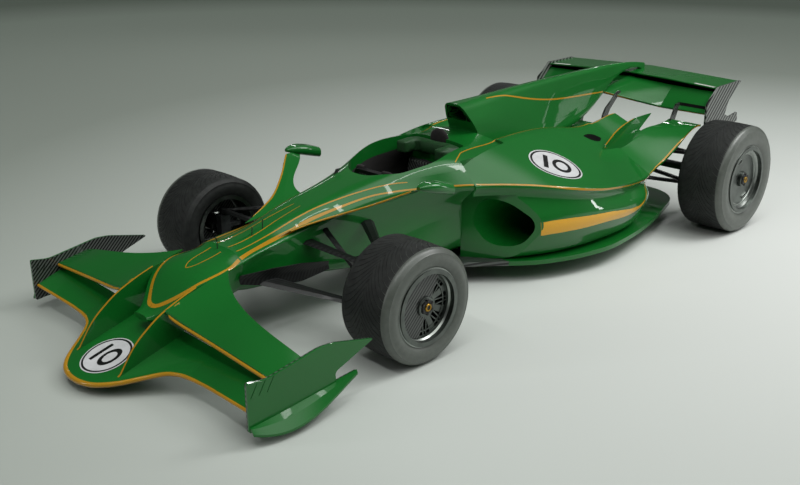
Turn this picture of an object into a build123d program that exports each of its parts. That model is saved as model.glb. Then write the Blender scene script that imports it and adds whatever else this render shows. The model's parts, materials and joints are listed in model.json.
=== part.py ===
from build123d import *
import math
import os

os.makedirs("parts", exist_ok=True)

# Open-wheel race car. Lengths in mm. Written from the front axle: x forward, y to the left, z up.
# The whole car is moved along x at export, so that the middle of its length is at x = 0.

# Wheels
WHEELBASE = 2632
TRACK_FRONT = 1493
TRACK_REAR = 1700
FRONT_TYRE_R = 270
FRONT_TYRE_W = 302
FRONT_LIP_R = 176
REAR_TYRE_R = 326
REAR_TYRE_W = 300
REAR_LIP_R = 201.5
LIP_H = 11
LIP_WALL = 9
BEAD_INSET = 14
BARREL_WALL = 10
WEB_T = 12
WEB_INSET = 41
HUB_R = 46
HUB_PROUD = 14
STUB_R = 25
RUN_GAP = 0.3

# Lengths along the car
NOSE_LIP_X = 1230
NOSE_TIP_SETBACK = 346
WING_OVERHANG = 468
TUB_FRONT_X = 450
RIM_FRONT_X = -391
POD_FRONT_X = -830
TUB_OVERLAP = 350
BULKHEAD_SETBACK = 155
POD_CLEAR = 572
GEARBOX_L = 1010
GEARBOX_OVERHANG = 128
DECK_OVERHANG = 18

# Widths and heights
FLOOR_TOP = 122
FLOOR_T = 25
PLANK_T = 37
PLANK_W = 300
POD_INNER_Y = 300
ENGINE_W = 460
COVER_T = 15
END_Y = 876
PLATE_T = 14
FENCE_Y = 170
FENCE_T = 12
WING_TYRE_GAP = 55
REAR_PLATE_T = 12
DECK_T = 12
FIN_Y = 444
FIN_T = 8
RIM_HALF = 215
REST_HALF = 190

# Suspension and steering
KINGPIN_IN = 106.5
UPPER_JOINT_Z = 88
LOWER_JOINT_Z = -95
BOSS_R = 17
BOSS_H = 26
POST_GAP = 8
PIN_R = 8
LEG_TIP_T = 18
LEG_TIP_CHORD = 26
SOCKET_GAP = 1.5
PAD_H = 26
ARM_LENGTH = 100
RACK_Z = 300
ROD_R = 9
EYE_R = 20
EYE_WALL = 4
REAR_JOINT_IN = 210
FLANGE_R = 45
FLANGE_Y = 135

# Places worked out from the sizes
REAR_X = -WHEELBASE
TAIL_X = REAR_X - WING_OVERHANG
X_SHIFT = -(NOSE_LIP_X + TAIL_X) / 2
TUB_REAR_X = POD_FRONT_X - TUB_OVERLAP
BULKHEAD_X = POD_FRONT_X - BULKHEAD_SETBACK
POD_REAR_X = REAR_X + POD_CLEAR
GEARBOX_END_X = REAR_X - GEARBOX_OVERHANG
ENGINE_REAR_X = GEARBOX_END_X + GEARBOX_L
DECK_END_X = REAR_X - DECK_OVERHANG
FRONT_Y = TRACK_FRONT / 2
REAR_Y = TRACK_REAR / 2
REAR_INNER_Y = REAR_Y - REAR_TYRE_W / 2
WING_END_Y = REAR_INNER_Y - WING_TYRE_GAP
KINGPIN_Y = FRONT_Y - KINGPIN_IN
REAR_JOINT_Y = REAR_Y - REAR_JOINT_IN
FRONT_Z = FRONT_TYRE_R
REAR_Z = REAR_TYRE_R

SOLIDS = {}


def keep(name, shape):
    """Store a piece under its node name."""
    SOLIDS[name] = shape


def between(start, end, share):
    """Place at a share of the way from start to end."""
    return start + (end - start) * share


def rounded(points, roundness):
    """Closed outline of lines and arcs: each corner is rounded by a share of its shorter side."""
    count = len(points)
    shares = roundness if isinstance(roundness, (list, tuple)) else [roundness] * count
    corners = []
    for i in range(count):
        before = Vector(*points[i - 1])
        corner = Vector(*points[i])
        after = Vector(*points[(i + 1) % count])
        cut = shares[i] * min((before - corner).length, (after - corner).length)
        start = corner + (before - corner).normalized() * cut
        end = corner + (after - corner).normalized() * cut
        half_chord = (end - start).length / 2
        height = math.sqrt(cut * cut - half_chord * half_chord)
        bulge = half_chord * (cut - half_chord) / height
        middle = (start + end) / 2
        corners.append((start, middle + (corner - middle).normalized() * bulge, end))
    edges = []
    for i in range(count):
        edges.append(ThreePointArc(*corners[i]))
        edges.append(Line(corners[i][2], corners[(i + 1) % count][0]))
    return Curve() + edges


def mirrored(points):
    """A left half outline joined to its right half."""
    return list(points) + [(a, -b) for a, b in reversed(points)]


def cross_face(x, points, roundness):
    """Face across the car at x, points as (y, z)."""
    return make_face(Plane.YZ.offset(x) * rounded(points, roundness))


def body_loft(rows, roundness):
    """Loft across the car. Each row: x, then the left half as (y, z) pairs from the keel up."""
    shares = list(roundness) + list(reversed(roundness))
    faces = []
    for x, *half in rows:
        faces.append(cross_face(x, half + [(-y, z) for y, z in reversed(half)], shares))
    return loft(faces)


def side_face(y, points, roundness):
    """Face in a fore-and-aft plane at y, points as (x, z)."""
    return make_face(Plane((0, y, 0), (1, 0, 0), (0, -1, 0)) * rounded(points, roundness))


def side_plate(y_low, y_high, points, roundness=0.2):
    """Plate between two y planes with an (x, z) outline."""
    return extrude(side_face(y_low, points, roundness), amount=y_high - y_low, dir=(0, 1, 0))


def plan_plate(z_low, z_high, points, roundness):
    """Plate between two heights with an (x, y) outline."""
    return Pos(0, 0, z_low) * extrude(make_face(rounded(points, roundness)), amount=z_high - z_low)


# Wing section: share of the chord, share of the thickness above the chord line, roundness.
FOIL = [(0, -0.3, 0.4), (0.3, -0.7, 0.4), (1, -0.06, 0.3), (1, 0.06, 0.3), (0.4, 0.3, 0.4), (0, 0.3, 0.4)]


def foil(y, le_x, le_z, te_x, te_z, thick):
    """Wing section at y between its leading and trailing edges."""
    chord = Vector(te_x - le_x, te_z - le_z)
    up = Vector(chord.Y, -chord.X).normalized()
    points = []
    for along, off, share in FOIL:
        spot = Vector(le_x, le_z) + chord * along + up * (off * thick)
        points.append((spot.X, spot.Y))
    return side_face(y, points, [share for along, off, share in FOIL])


def box(x0, x1, y0, y1, z0, z1):
    """Block between two corners."""
    size = (abs(x1 - x0), abs(y1 - y0), abs(z1 - z0))
    return Pos((x0 + x1) / 2, (y0 + y1) / 2, (z0 + z1) / 2) * Box(*size)


def rod(a, b, r):
    """Round rod between two points."""
    a, b = Vector(a), Vector(b)
    return extrude(Plane(a, z_dir=b - a) * Circle(r), amount=(b - a).length)


LEG_FLAT = 0.5


def blade(a, b, chord_a, chord_b, t_a, t_b):
    """Leg with a six-sided section, pointed fore and aft, from a to b."""
    a, b = Vector(a), Vector(b)
    along = (b - a).normalized()
    fore = (Vector(1, 0, 0) - along * along.X).normalized()
    faces = []
    for spot, chord, thick in ((a, chord_a, t_a), (b, chord_b, t_b)):
        tip, flat, half = chord / 2, chord * LEG_FLAT / 2, thick / 2
        points = [(tip, 0), (flat, half), (-flat, half), (-tip, 0), (-flat, -half), (flat, -half)]
        faces.append(make_face(Plane(spot, x_dir=fore, z_dir=along) * Polyline(*points, close=True)))
    return loft(faces, ruled=True)


def biggest(shape):
    """The main solid of a cut piece."""
    return max(shape.solids(), key=lambda solid: solid.volume)


def flip(shape):
    """The same piece on the other side of the car."""
    return mirror(shape, about=Plane.XZ)


def both(shape):
    """A piece and its mirror image in one node."""
    return Compound(children=list(shape.solids()) + list(flip(shape).solids()))


# Tub and nose. Columns: x, keel (y, z), bilge (y, z), waist (y, z), chine (y, z), crown (y, z).
NOSE_ROOT = ((80, 238), (135, 262), (152, 330), (168, 402), (95, 440))
NOSE_TIP_X = NOSE_LIP_X - NOSE_TIP_SETBACK
TUB = [
    (TUB_FRONT_X, *NOSE_ROOT),
    (100, (90, 212), (150, 240), (145, 350), (151, 455), (85, 512)),
    (-160, (110, 185), (185, 215), (170, 350), (182, 507), (105, 568)),
    (-440, (145, 152), (245, 190), (210, 375), (245, 545), (160, 622)),
    (POD_FRONT_X + 140, (200, 134), (300, 196), (265, 410), (335, 537), (268, 668)),
    (POD_FRONT_X - 110, (240, 124), (330, 200), (320, 420), (490, 530), (238, 694)),
    (TUB_REAR_X, (250, 124), (330, 200), (320, 420), (650, 512), (240, 708)),
]
NOSE = [
    (TUB_FRONT_X, *NOSE_ROOT),
    (between(TUB_FRONT_X, NOSE_TIP_X, 0.27), (86, 230), (145, 248), (165, 312), (178, 384), (98, 406)),
    (between(TUB_FRONT_X, NOSE_TIP_X, 0.55), (88, 222), (146, 238), (174, 292), (182, 348), (100, 362)),
    (between(TUB_FRONT_X, NOSE_TIP_X, 0.8), (62, 206), (98, 214), (112, 238), (106, 268), (58, 280)),
    (NOSE_TIP_X, (34, 208), (48, 212), (54, 222), (48, 232), (28, 237)),
]
TUB_ROUND = [0.4, 0.4, 0.4, 0.12, 0.42]

# Cockpit space. Columns: x, lower (y, z), upper (y, z).
COCKPIT = [
    (250, (95, 275), (90, 395)),
    (-160, (125, 230), (120, 505)),
    (-480, (195, 195), (185, 560)),
    (BULKHEAD_X, (238, 165), (230, 645)),
]
COCKPIT_ROUND = [0.35, 0.35]
# Cockpit rim seen from above, from the front. Columns: x, y, roundness.
RIM = [
    (RIM_FRONT_X, 70, 0.4),
    (RIM_FRONT_X - 110, RIM_HALF - 30, 0.3),
    (between(RIM_FRONT_X, BULKHEAD_X, 0.52), RIM_HALF + 40, 0.4),
    (between(RIM_FRONT_X, BULKHEAD_X, 0.83), RIM_HALF, 0.3),
    (BULKHEAD_X, REST_HALF, 0.1),
]
TOP_Z = 1000
RIM_CUT_Z = 420

tub = body_loft(TUB, TUB_ROUND)
tub -= body_loft(COCKPIT, COCKPIT_ROUND)
rim_round = [share for x, y, share in RIM]
tub -= plan_plate(RIM_CUT_Z, TOP_Z, mirrored([(x, y) for x, y, share in RIM]), rim_round + rim_round[::-1])
for side in (-1, 1):
    tub -= box(POD_FRONT_X, TUB_REAR_X - 1, side * POD_INNER_Y, side * TOP_Z, 0, TOP_Z)
tub -= box(TUB_FRONT_X, TUB_REAR_X - 1, -TOP_Z, TOP_Z, 0, FLOOR_TOP)
nose = body_loft(NOSE, TUB_ROUND)

# Floor. Left edge from the front: x, y.
FLOOR_EDGE = [
    (-420, 110),
    (-797, 369),
    (-1097, 631),
    (-1322, 724),
    (-1571, 769),
    (-1900, 734),
    (POD_REAR_X - 160, REAR_INNER_Y - 42),
    (REAR_X - 68, REAR_INNER_Y - 200),
]
floor_low = FLOOR_TOP - FLOOR_T
keep("floor", plan_plate(floor_low, FLOOR_TOP, mirrored(FLOOR_EDGE), 0.4))
PLANK_FRONT_X = -560
plank = box(PLANK_FRONT_X, POD_REAR_X - 390, -PLANK_W / 2, PLANK_W / 2, floor_low - PLANK_T, floor_low)
keep("skid_plank", plank)

# Front wing, all set back from the lip of the bill.
# Columns: y, leading edge setback and z, trailing edge setback and z, thickness.
BILL = [
    (0, 0, 42, 452, 174, 26),
    (108, 27, 46, 452, 174, 26),
    (215, 119, 64, 452, 174, 26),
    (322, 245, 96, 450, 175, 25),
    (430, 291, 103, 449, 178, 24),
]
PLANES = [
    BILL[-1],
    (560, 298, 108, 448, 182, 24),
    (END_Y, 280, 128, 445, 192, 22),
]
FLAP = [
    (FENCE_Y + FENCE_T, 362, 290, 690, 396, 44),
    (300, 372, 272, 618, 368, 32),
    (478, 384, 252, 560, 336, 24),
    (END_Y, 401, 212, 560, 247, 16),
]
# Fence side outline: setback, z, roundness.
FENCE = [
    (530, 362, 0.3),
    (442, 333, 0.3),
    (330, 285, 0.4),
    (210, 195, 0.4),
    (122, 66, 0.2),
    (171, 81, 0.3),
    (350, 138, 0.3),
    (590, 250, 0.2),
    (590, 372, 0.2),
]


def wing_foils(rows):
    """Sections of a front wing plane from its table."""
    faces = []
    for y, le, le_z, te, te_z, thick in rows:
        faces.append(foil(y, NOSE_LIP_X - le, le_z, NOSE_LIP_X - te, te_z, thick))
    return faces


bill_right = [(-row[0], *row[1:]) for row in reversed(BILL[1:])]
outer_plane = loft(wing_foils(PLANES), ruled=True)
wing_main = loft(wing_foils(bill_right + BILL)) + outer_plane + flip(outer_plane)
fence_points = [(NOSE_LIP_X - d, z) for d, z, share in FENCE]
fence = side_plate(FENCE_Y, FENCE_Y + FENCE_T, fence_points, [share for d, z, share in FENCE])
wing_main = biggest(wing_main + fence + flip(fence) - nose)
keep("front_wing_main_plane", wing_main)
flap = loft(wing_foils(FLAP)) - nose - tub - wing_main
keep("front_wing_flaps", both(biggest(flap)))

# Front end plate side outline: setback, z. Foot: setback, inner z, reach outwards, outer z.
ENDPLATE = [(263, 55), (263, 265), (356, 250), (611, 293), (685, 289), (900, 238), (690, 159), (693, 112)]
ENDPLATE_ROUND = [0.05, 0.1, 0.3, 0.3, 0.3, 0.05, 0.3, 0.2]
FOOT = [(266, 78, 22, 62), (390, 90, 60, 40), (580, 108, 50, 58), (800, 126, 10, 122)]
FOOT_T = 10
FOOT_BULGE = 9
SLOT_W = 4
SLOT_RUN = 33
SLOT_PITCH = 38
SLOT_LOW_Z = 197
SLOT_H = 55
SLOT_SETBACK = 275
plate_out = END_Y + PLATE_T
endplate = side_plate(END_Y, plate_out, [(NOSE_LIP_X - d, z) for d, z in ENDPLATE], ENDPLATE_ROUND)
foot_faces = []
for setback, inner_z, reach, outer_z in FOOT:
    outer = plate_out + reach
    middle = (plate_out + reach / 2, (inner_z + outer_z) / 2 + FOOT_BULGE)
    top = [(END_Y + 1, inner_z), middle, (outer, outer_z)]
    points = top + [(y, z - FOOT_T) for y, z in reversed(top)]
    foot_faces.append(make_face(Plane.YZ.offset(NOSE_LIP_X - setback) * Polyline(*points, close=True)))
endplate += loft(foot_faces)
for i in range(3):
    x = NOSE_LIP_X - SLOT_SETBACK - SLOT_PITCH * i
    slot = [(x, SLOT_LOW_Z), (x - SLOT_RUN, SLOT_LOW_Z + SLOT_H)]
    slot += [(a - SLOT_W, b) for a, b in reversed(slot)]
    endplate -= side_plate(END_Y - 1, plate_out + 1, slot, 0.2)
endplate = biggest(endplate)
keep("front_endplate_left", endplate)
keep("front_endplate_right", flip(endplate))

# Sidepods and engine cover base.
# Columns: share of the pod's length, keel, flank, tuck, shoulder, ridge, valley, all (y, z).
POD = [
    (0, (400, FLOOR_TOP), (500, 320), (395, 490), (425, 535), (245, 640), (110, 600)),
    (0.138, (520, FLOOR_TOP), (612, 320), (515, 480), (545, 530), (250, 688), (110, 610)),
    (0.341, (640, FLOOR_TOP), (716, 318), (675, 455), (708, 502), (248, 714), (110, 600)),
    (0.585, (690, FLOOR_TOP), (758, 312), (712, 405), (748, 453), (243, 712), (110, 590)),
    (0.829, (680, FLOOR_TOP), (757, 300), (690, 375), (723, 420), (235, 662), (110, 580)),
    (1, (600, FLOOR_TOP), (692, 290), (640, 368), (685, 407), (225, 648), (100, 575)),
]
POD_ROUND = [0.25, 0.4, 0.35, 0.35, 0.3, 0.3]
cover_base_z = min(row[6][1] for row in POD) - COVER_T
body = body_loft([(between(POD_FRONT_X, POD_REAR_X, row[0]), *row[1:]) for row in POD], POD_ROUND)
pod = body & box(POD_FRONT_X, POD_REAR_X, POD_INNER_Y, TOP_Z, 0, TOP_Z)

# Raked mouth under the shoulder ledge, and the duct behind it.
MOUTH_START = 22
MOUTH_RAKE = 0.7
LEDGE_Z = 482
rake = [(POD_FRONT_X - MOUTH_START, POD_INNER_Y)]
rake += [(rake[0][0] - MOUTH_RAKE * (TOP_Z - POD_INNER_Y), TOP_Z), (TUB_FRONT_X, TOP_Z)]
rake += [(TUB_FRONT_X, 0), (POD_FRONT_X - MOUTH_START, 0)]
pod -= extrude(make_face(Polyline(*rake, close=True)), amount=LEDGE_Z)
# Duct. Columns: share of the pod's length, then (y out from the pod's inner face, z) round the duct.
DUCT = [
    (-0.02, (40, 320), (85, 455), (200, 440), (340, 330), (260, 195), (120, 195)),
    (0.211, (40, 320), (85, 455), (200, 440), (340, 330), (260, 195), (120, 195)),
    (0.545, (45, 300), (90, 410), (200, 410), (325, 315), (260, 180), (120, 180)),
    (1.02, (80, 260), (100, 320), (180, 335), (260, 280), (230, 185), (120, 185)),
]
duct_faces = []
for share, *points in DUCT:
    x = between(POD_FRONT_X, POD_REAR_X, share)
    duct_faces.append(cross_face(x, [(POD_INNER_Y + y, z) for y, z in points], 0.42))
pod = biggest(pod - loft(duct_faces))
keep("sidepod_left", pod)
keep("sidepod_right", flip(pod))

cover = body & box(TUB_REAR_X, POD_REAR_X, -POD_INNER_Y, POD_INNER_Y, cover_base_z, TOP_Z)
# Spine over the engine. Columns: x, foot (y, z), side (y, z), top (y, z).
AIRBOX_X = TUB_REAR_X + 100
SPINE = [
    (AIRBOX_X, (112, 690), (100, 775), (62, 868)),
    (between(AIRBOX_X, POD_REAR_X, 0.28), (125, 585), (92, 760), (46, 878)),
    (between(AIRBOX_X, POD_REAR_X, 0.63), (120, 570), (74, 730), (36, 892)),
    (POD_REAR_X, (95, 570), (58, 720), (30, 901)),
    (TAIL_X + 604, (40, 735), (38, 800), (22, 905)),
    (TAIL_X + 110, (14, 800), (14, 830), (10, 868)),
]
SPINE_ROUND = [0.3, 0.4, 0.4]
spine = body_loft(SPINE, SPINE_ROUND)
# Airbox mouth: side outline of the cut as setback behind the airbox and z, then the bore behind it.
SCOOP = [(-80, 950), (-20, 950), (12, 871), (106, 716), (110, 600), (-80, 600)]
BORE = [(-30, 78, 776, 46, 856), (320, 52, 742, 36, 834)]
spine -= side_plate(-POD_INNER_Y, POD_INNER_Y, [(AIRBOX_X - d, z) for d, z in SCOOP], 0.05)
bore_faces = []
for d, low_y, low_z, high_y, high_z in BORE:
    points = [(-low_y, low_z), (low_y, low_z), (high_y, high_z), (-high_y, high_z)]
    bore_faces.append(cross_face(AIRBOX_X - d, points, 0.4))
spine -= loft(bore_faces)

# Rear wing, placed ahead of its tail.
# Columns: y, leading edge lead and z, trailing edge lead and z, thickness.
REAR_MAIN = [
    (0, 604, 739, 260, 800, 26),
    (329, 400, 656, 262, 786, 26),
    (WING_END_Y, 400, 657, 264, 782, 24),
]
REAR_FLAP = [
    (0, 285, 826, 0, 835, 16),
    (290, 285, 818, 0, 826, 16),
    (WING_END_Y, 285, 800, 0, 813, 14),
]


def rear_plane(rows):
    """A rear wing plane, both halves."""
    faces = []
    for y, le, le_z, te, te_z, thick in rows:
        faces.append(foil(y, TAIL_X + le, le_z, TAIL_X + te, te_z, thick))
    half = loft(faces, ruled=True)
    return half + flip(half)


rear_main = rear_plane(REAR_MAIN)
rear_flap = rear_plane(REAR_FLAP)
keep("rear_wing_main_plane", rear_main)
keep("rear_wing_flap", rear_flap)
# Rear end plate side outline: lead ahead of the tail, z.
REAR_PLATE = [
    (412, 575),
    (412, 723),
    (292, 816),
    (0, 822),
    (140, 714),
    (178, 628),
    (115, 604),
    (16, 618),
    (0, 560),
    (150, 545),
]
rear_points = [(TAIL_X + d, z) for d, z in REAR_PLATE]
rear_end = side_plate(WING_END_Y, WING_END_Y + REAR_PLATE_T, rear_points, 0.08)
keep("rear_endplate_left", rear_end)
keep("rear_endplate_right", flip(rear_end))
cover = biggest(cover + spine - tub - rear_main - rear_flap)
keep("engine_cover", cover)

# Rear deck. Columns: share of its length, middle z, ridge (y, z), edge (inset from the tyre, z).
DECK = [
    (0, 570, (225, 638), (28, 408)),
    (0.25, 572, (232, 650), (46, 446)),
    (0.46, 575, (236, 660), (48, 490)),
    (0.66, 585, (240, 622), (50, 552)),
    (1, 598, (240, 606), (52, 604)),
]
DECK_MID_Y = 90
DECK_OPEN_SHARE = 0.46
DECK_OPEN_Y = 425
deck_faces = []
for share, mid_z, ridge, (inset, edge_z) in DECK:
    upper = [(REAR_INNER_Y - inset, edge_z), ridge, (DECK_MID_Y, mid_z)]
    upper = upper + [(-y, z) for y, z in reversed(upper)]
    lower = [(y, z - DECK_T) for y, z in reversed(upper)]
    plane = Plane.YZ.offset(between(POD_REAR_X, DECK_END_X, share))
    deck_faces.append(make_face(plane * Polyline(*upper, *lower, close=True)))
deck = loft(deck_faces)
deck -= box(between(POD_REAR_X, DECK_END_X, DECK_OPEN_SHARE), TAIL_X, -DECK_OPEN_Y, DECK_OPEN_Y, 0, TOP_Z)
# Deck fin side outline: lead ahead of the pod's rear end, z, roundness.
FIN = [
    (163, 500, 0.05),
    (163, 546, 0.1),
    (18, 644, 0.4),
    (-146, 682, 0.3),
    (-334, 684, 0.02),
    (-252, 631, 0.2),
    (-40, 480, 0.05),
]
fin = side_plate(FIN_Y, FIN_Y + FIN_T, [(POD_REAR_X + d, z) for d, z, share in FIN], [row[2] for row in FIN])
fin = biggest(fin - body - deck)
deck = biggest(deck - cover + fin + flip(fin))
keep("rear_deck", deck)

# Engine block, gearbox with its drive flanges, and the struts of the rear wing.
# Gearbox columns: share of its length, half width, lower z, upper z.
GEARBOX = [(0, 180, FLOOR_TOP + 10, 500), (0.545, 120, 170, 480), (1, 75, 230, 450)]
keep("engine_block", box(TUB_REAR_X, ENGINE_REAR_X, -ENGINE_W / 2, ENGINE_W / 2, FLOOR_TOP, cover_base_z))
gear_faces = []
for share, half, low, high in GEARBOX:
    plane = Plane.YZ.offset(between(ENGINE_REAR_X, GEARBOX_END_X, share))
    points = [(-half, low), (half, low), (half, high), (-half, high)]
    gear_faces.append(make_face(plane * Polyline(*points, close=True)))
gearbox = loft(gear_faces, ruled=True)
flange_y = FLANGE_Y - RUN_GAP
gearbox += rod((REAR_X, -flange_y, REAR_Z), (REAR_X, flange_y, REAR_Z), FLANGE_R)
keep("gearbox", gearbox)
# Inner strut side outline: lead ahead of the wing's tail, z.
STRUT_Y = 85
STRUT_T = 12
STRUT = [(660, 400), (710, 520), (680, 640), (540, 745), (500, 745), (630, 630), (650, 520), (600, 400)]
strut = side_plate(STRUT_Y, STRUT_Y + STRUT_T, [(TAIL_X + d, z) for d, z in STRUT], 0.35)
strut = biggest(strut - gearbox - rear_main)
outer_points = [(DECK_END_X + 60, 540), (DECK_END_X, 540), (TAIL_X + 372, 700), (TAIL_X + 425, 700)]
outer_strut = side_plate(FIN_Y, FIN_Y + FIN_T, outer_points, 0.1) - rear_main - deck
outer_strut = max(outer_strut.solids(), key=lambda solid: solid.center().Z)
keep("rear_wing_struts", Compound(children=[strut, flip(strut), outer_strut, flip(outer_strut)]))

# Cockpit fittings, placed ahead of the bulkhead: seat shell and its hollow, headrest, hand wheel.
SEAT_W = 340
SEAT_WALL = 30
SEAT = [(425, 185), (85, 190), (20, 330), (10, 560), (55, 560), (85, 340), (125, 250), (425, 250)]
SEAT_HOLLOW = [(485, 225), (135, 225), (70, 340), (55, 620), (485, 620)]
REST_LOW_Z = 612
REST_H = 70
REST = [(155, REST_HALF), (155, 120), (55, 110)]
HAND_X = RIM_FRONT_X - 129
HAND_Z = 545
HAND_W = 270
HAND_H = 130
HAND_T = 24
COLUMN_R = 18
COLUMN_L = 340
COLUMN_FALL = 35
half_w = SEAT_W / 2
seat = side_plate(-half_w, half_w, [(BULKHEAD_X + d, z) for d, z in SEAT], 0.3)
hollow_w = half_w - SEAT_WALL
seat -= side_plate(-hollow_w, hollow_w, [(BULKHEAD_X + d, z) for d, z in SEAT_HOLLOW], 0.2)
keep("seat", biggest(seat - tub))
rest_points = [(BULKHEAD_X, REST_HALF)] + [(BULKHEAD_X + d, y) for d, y in REST]
keep("headrest", plan_plate(REST_LOW_Z, REST_LOW_Z + REST_H, mirrored(rest_points), 0.25))
hand_plane = Plane((HAND_X, 0, HAND_Z), x_dir=(0, 1, 0), z_dir=(1, 0, -0.25))
hand_y, hand_z = HAND_W / 2, HAND_H / 2
hand_points = [(-hand_y, -hand_z), (hand_y, -hand_z), (hand_y, hand_z), (-hand_y, hand_z)]
hand = extrude(hand_plane * make_face(rounded(hand_points, 0.35)), amount=HAND_T)
hand += rod((HAND_X + HAND_T / 2, 0, HAND_Z), (HAND_X + COLUMN_L, 0, HAND_Z - COLUMN_FALL), COLUMN_R)
keep("steering_wheel", biggest(hand - tub))

# Mirrors. Stalk columns: y, leading edge (x, z), trailing edge (x, z).
STALK = [
    (125, (225, 462), (-270, 512)),
    (184, (62, 500), (-192, 505)),
    (240, (-42, 526), (-182, 527)),
    (348, (-176, 574), (-266, 572)),
    (475, (-312, 640), (-400, 634)),
]
STALK_T = 12
# Housing columns: x, half width, centre z, half height.
HOUSING = [(-328, 12, 652, 8), (-390, 42, 647, 23), (-470, 50, 630, 29), (-530, 48, 613, 28)]
HOUSING_Y = 496
stalk_faces = []
for y, (le_x, le_z), (te_x, te_z) in STALK:
    mid_x, mid_z, half = (le_x + te_x) / 2, (le_z + te_z) / 2, STALK_T / 2
    points = [(le_x, le_z), (mid_x, mid_z + half), (te_x, te_z), (mid_x, mid_z - half)]
    plane = Plane((0, y, 0), (1, 0, 0), (0, -1, 0))
    stalk_faces.append(make_face(plane * Polyline(*points, close=True)))
housing_faces = []
for x, half, z, high in HOUSING:
    points = [(-half, z - high), (half, z - high), (half, z + high), (-half, z + high)]
    housing_faces.append(cross_face(x, [(HOUSING_Y + y, z) for y, z in points], 0.45))
mirror_left = biggest(loft(stalk_faces) + loft(housing_faces) - tub)
keep("mirror_left", mirror_left)
keep("mirror_right", flip(mirror_left))

# Front suspension on the left. The kingpin is upright at x = 0.
upper_z = FRONT_Z + UPPER_JOINT_Z
lower_z = FRONT_Z + LOWER_JOINT_Z
# Legs. Columns: root (x, y, z), root chord, root thickness.
UPPER_LEGS = [((58, 125, 398), 75, 22), ((-283, 186, 428), 70, 22)]
LOWER_LEGS = [((TUB_FRONT_X - 85, 120, 294), 105, 24), ((-215, 174, 252), 80, 24)]


def wishbone(z, legs):
    """Two blades from sockets in the tub to a bored boss at the outer joint, and the sockets."""
    joint = (0, KINGPIN_Y, z)
    arm = Pos(*joint) * Cylinder(BOSS_R, BOSS_H)
    holes = []
    for root, chord, thick in legs:
        arm += blade(root, joint, chord, LEG_TIP_CHORD, thick, LEG_TIP_T)
        room = 2 * SOCKET_GAP
        holes.append(blade(root, joint, chord + room, LEG_TIP_CHORD + room, thick + room, LEG_TIP_T + room))
    arm -= Pos(*joint) * Cylinder(PIN_R + RUN_GAP, 3 * BOSS_H)
    return arm, holes


upper, upper_sockets = wishbone(upper_z, UPPER_LEGS)
lower, lower_sockets = wishbone(lower_z, LOWER_LEGS)
# Pushrod from a pad on the lower wishbone up into the tub.
PAD_X = 22
PAD_OUT = 40
PAD_IN = 85
FOOT_IN = 58
FOOT_SINK = 14
FOOT_X = -8
PUSH_TOP = (-40, 152, 440)
PUSH_CHORD = 34
PUSH_T = 20
pad_z = lower_z + PAD_H
lower += box(-PAD_X, PAD_X, KINGPIN_Y - PAD_IN, KINGPIN_Y - PAD_OUT, lower_z - BOSS_H / 4, pad_z)
push_foot = (FOOT_X, KINGPIN_Y - FOOT_IN, pad_z - FOOT_SINK)
push = blade(PUSH_TOP, push_foot, PUSH_CHORD, PUSH_CHORD, PUSH_T, PUSH_T)
push -= box(-TOP_Z, TOP_Z, 0, TOP_Z, 0, pad_z)
hole_chord = PUSH_CHORD + 2 * SOCKET_GAP
hole_t = PUSH_T + 2 * SOCKET_GAP
push_socket = blade(PUSH_TOP, push_foot, hole_chord, hole_chord, hole_t, hole_t)
for socket in upper_sockets + lower_sockets + [push_socket]:
    tub = tub - socket - flip(socket)
keep("front_upper_wishbones", both(biggest(upper)))
keep("front_lower_wishbones", both(biggest(lower)))
keep("front_pushrods", both(biggest(push)))

# Front uprights: post, kingpin, stub axle, steering arm and its pin.
POST_X = 30
POST_IN = 22
POST_OUT = 25
STUB_END = 112
ARM_HALF = 12
ARM_DROP = 30
ARM_PIN_R = 6
ARM_PIN_H = 50
pin_low = lower_z - BOSS_H / 2
pin_high = upper_z + BOSS_H / 2
post_low = lower_z + BOSS_H / 2 + POST_GAP
post_high = upper_z - BOSS_H / 2 - POST_GAP
upright = box(-POST_X, POST_X, KINGPIN_Y - POST_IN, KINGPIN_Y + POST_OUT, post_low, post_high)
upright += Pos(0, KINGPIN_Y, (pin_low + pin_high) / 2) * Cylinder(PIN_R, pin_high - pin_low)
upright += rod((0, KINGPIN_Y, FRONT_Z), (0, FRONT_Y + STUB_END, FRONT_Z), STUB_R)
arm_z = RACK_Z - ARM_DROP
upright += box(-ARM_LENGTH, 0, KINGPIN_Y - ARM_HALF, KINGPIN_Y + ARM_HALF, arm_z - ARM_HALF, arm_z + ARM_HALF)
upright += Pos(-ARM_LENGTH, KINGPIN_Y, arm_z + ARM_PIN_H / 2 - ARM_HALF) * Cylinder(ARM_PIN_R, ARM_PIN_H)
keep("upright_front_left", upright)
keep("upright_front_right", flip(upright))

# Steering rack rod with an eye round each arm pin.
EYE_H = 22
EYE_PLAY = 3
rack = rod((-ARM_LENGTH, EYE_R - KINGPIN_Y, RACK_Z), (-ARM_LENGTH, KINGPIN_Y - EYE_R, RACK_Z), ROD_R)
for side in (-1, 1):
    eye = Cylinder(EYE_R + EYE_WALL, EYE_H) - Cylinder(EYE_R - EYE_PLAY, EYE_H)
    rack += Pos(-ARM_LENGTH, side * KINGPIN_Y, RACK_Z) * eye
keep("steering_rack", rack)
tub -= rod((-ARM_LENGTH, -POD_INNER_Y, RACK_Z), (-ARM_LENGTH, POD_INNER_Y, RACK_Z), ROD_R + RUN_GAP)
keep("monocoque", tub)
keep("nose_cone", nose)

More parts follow.
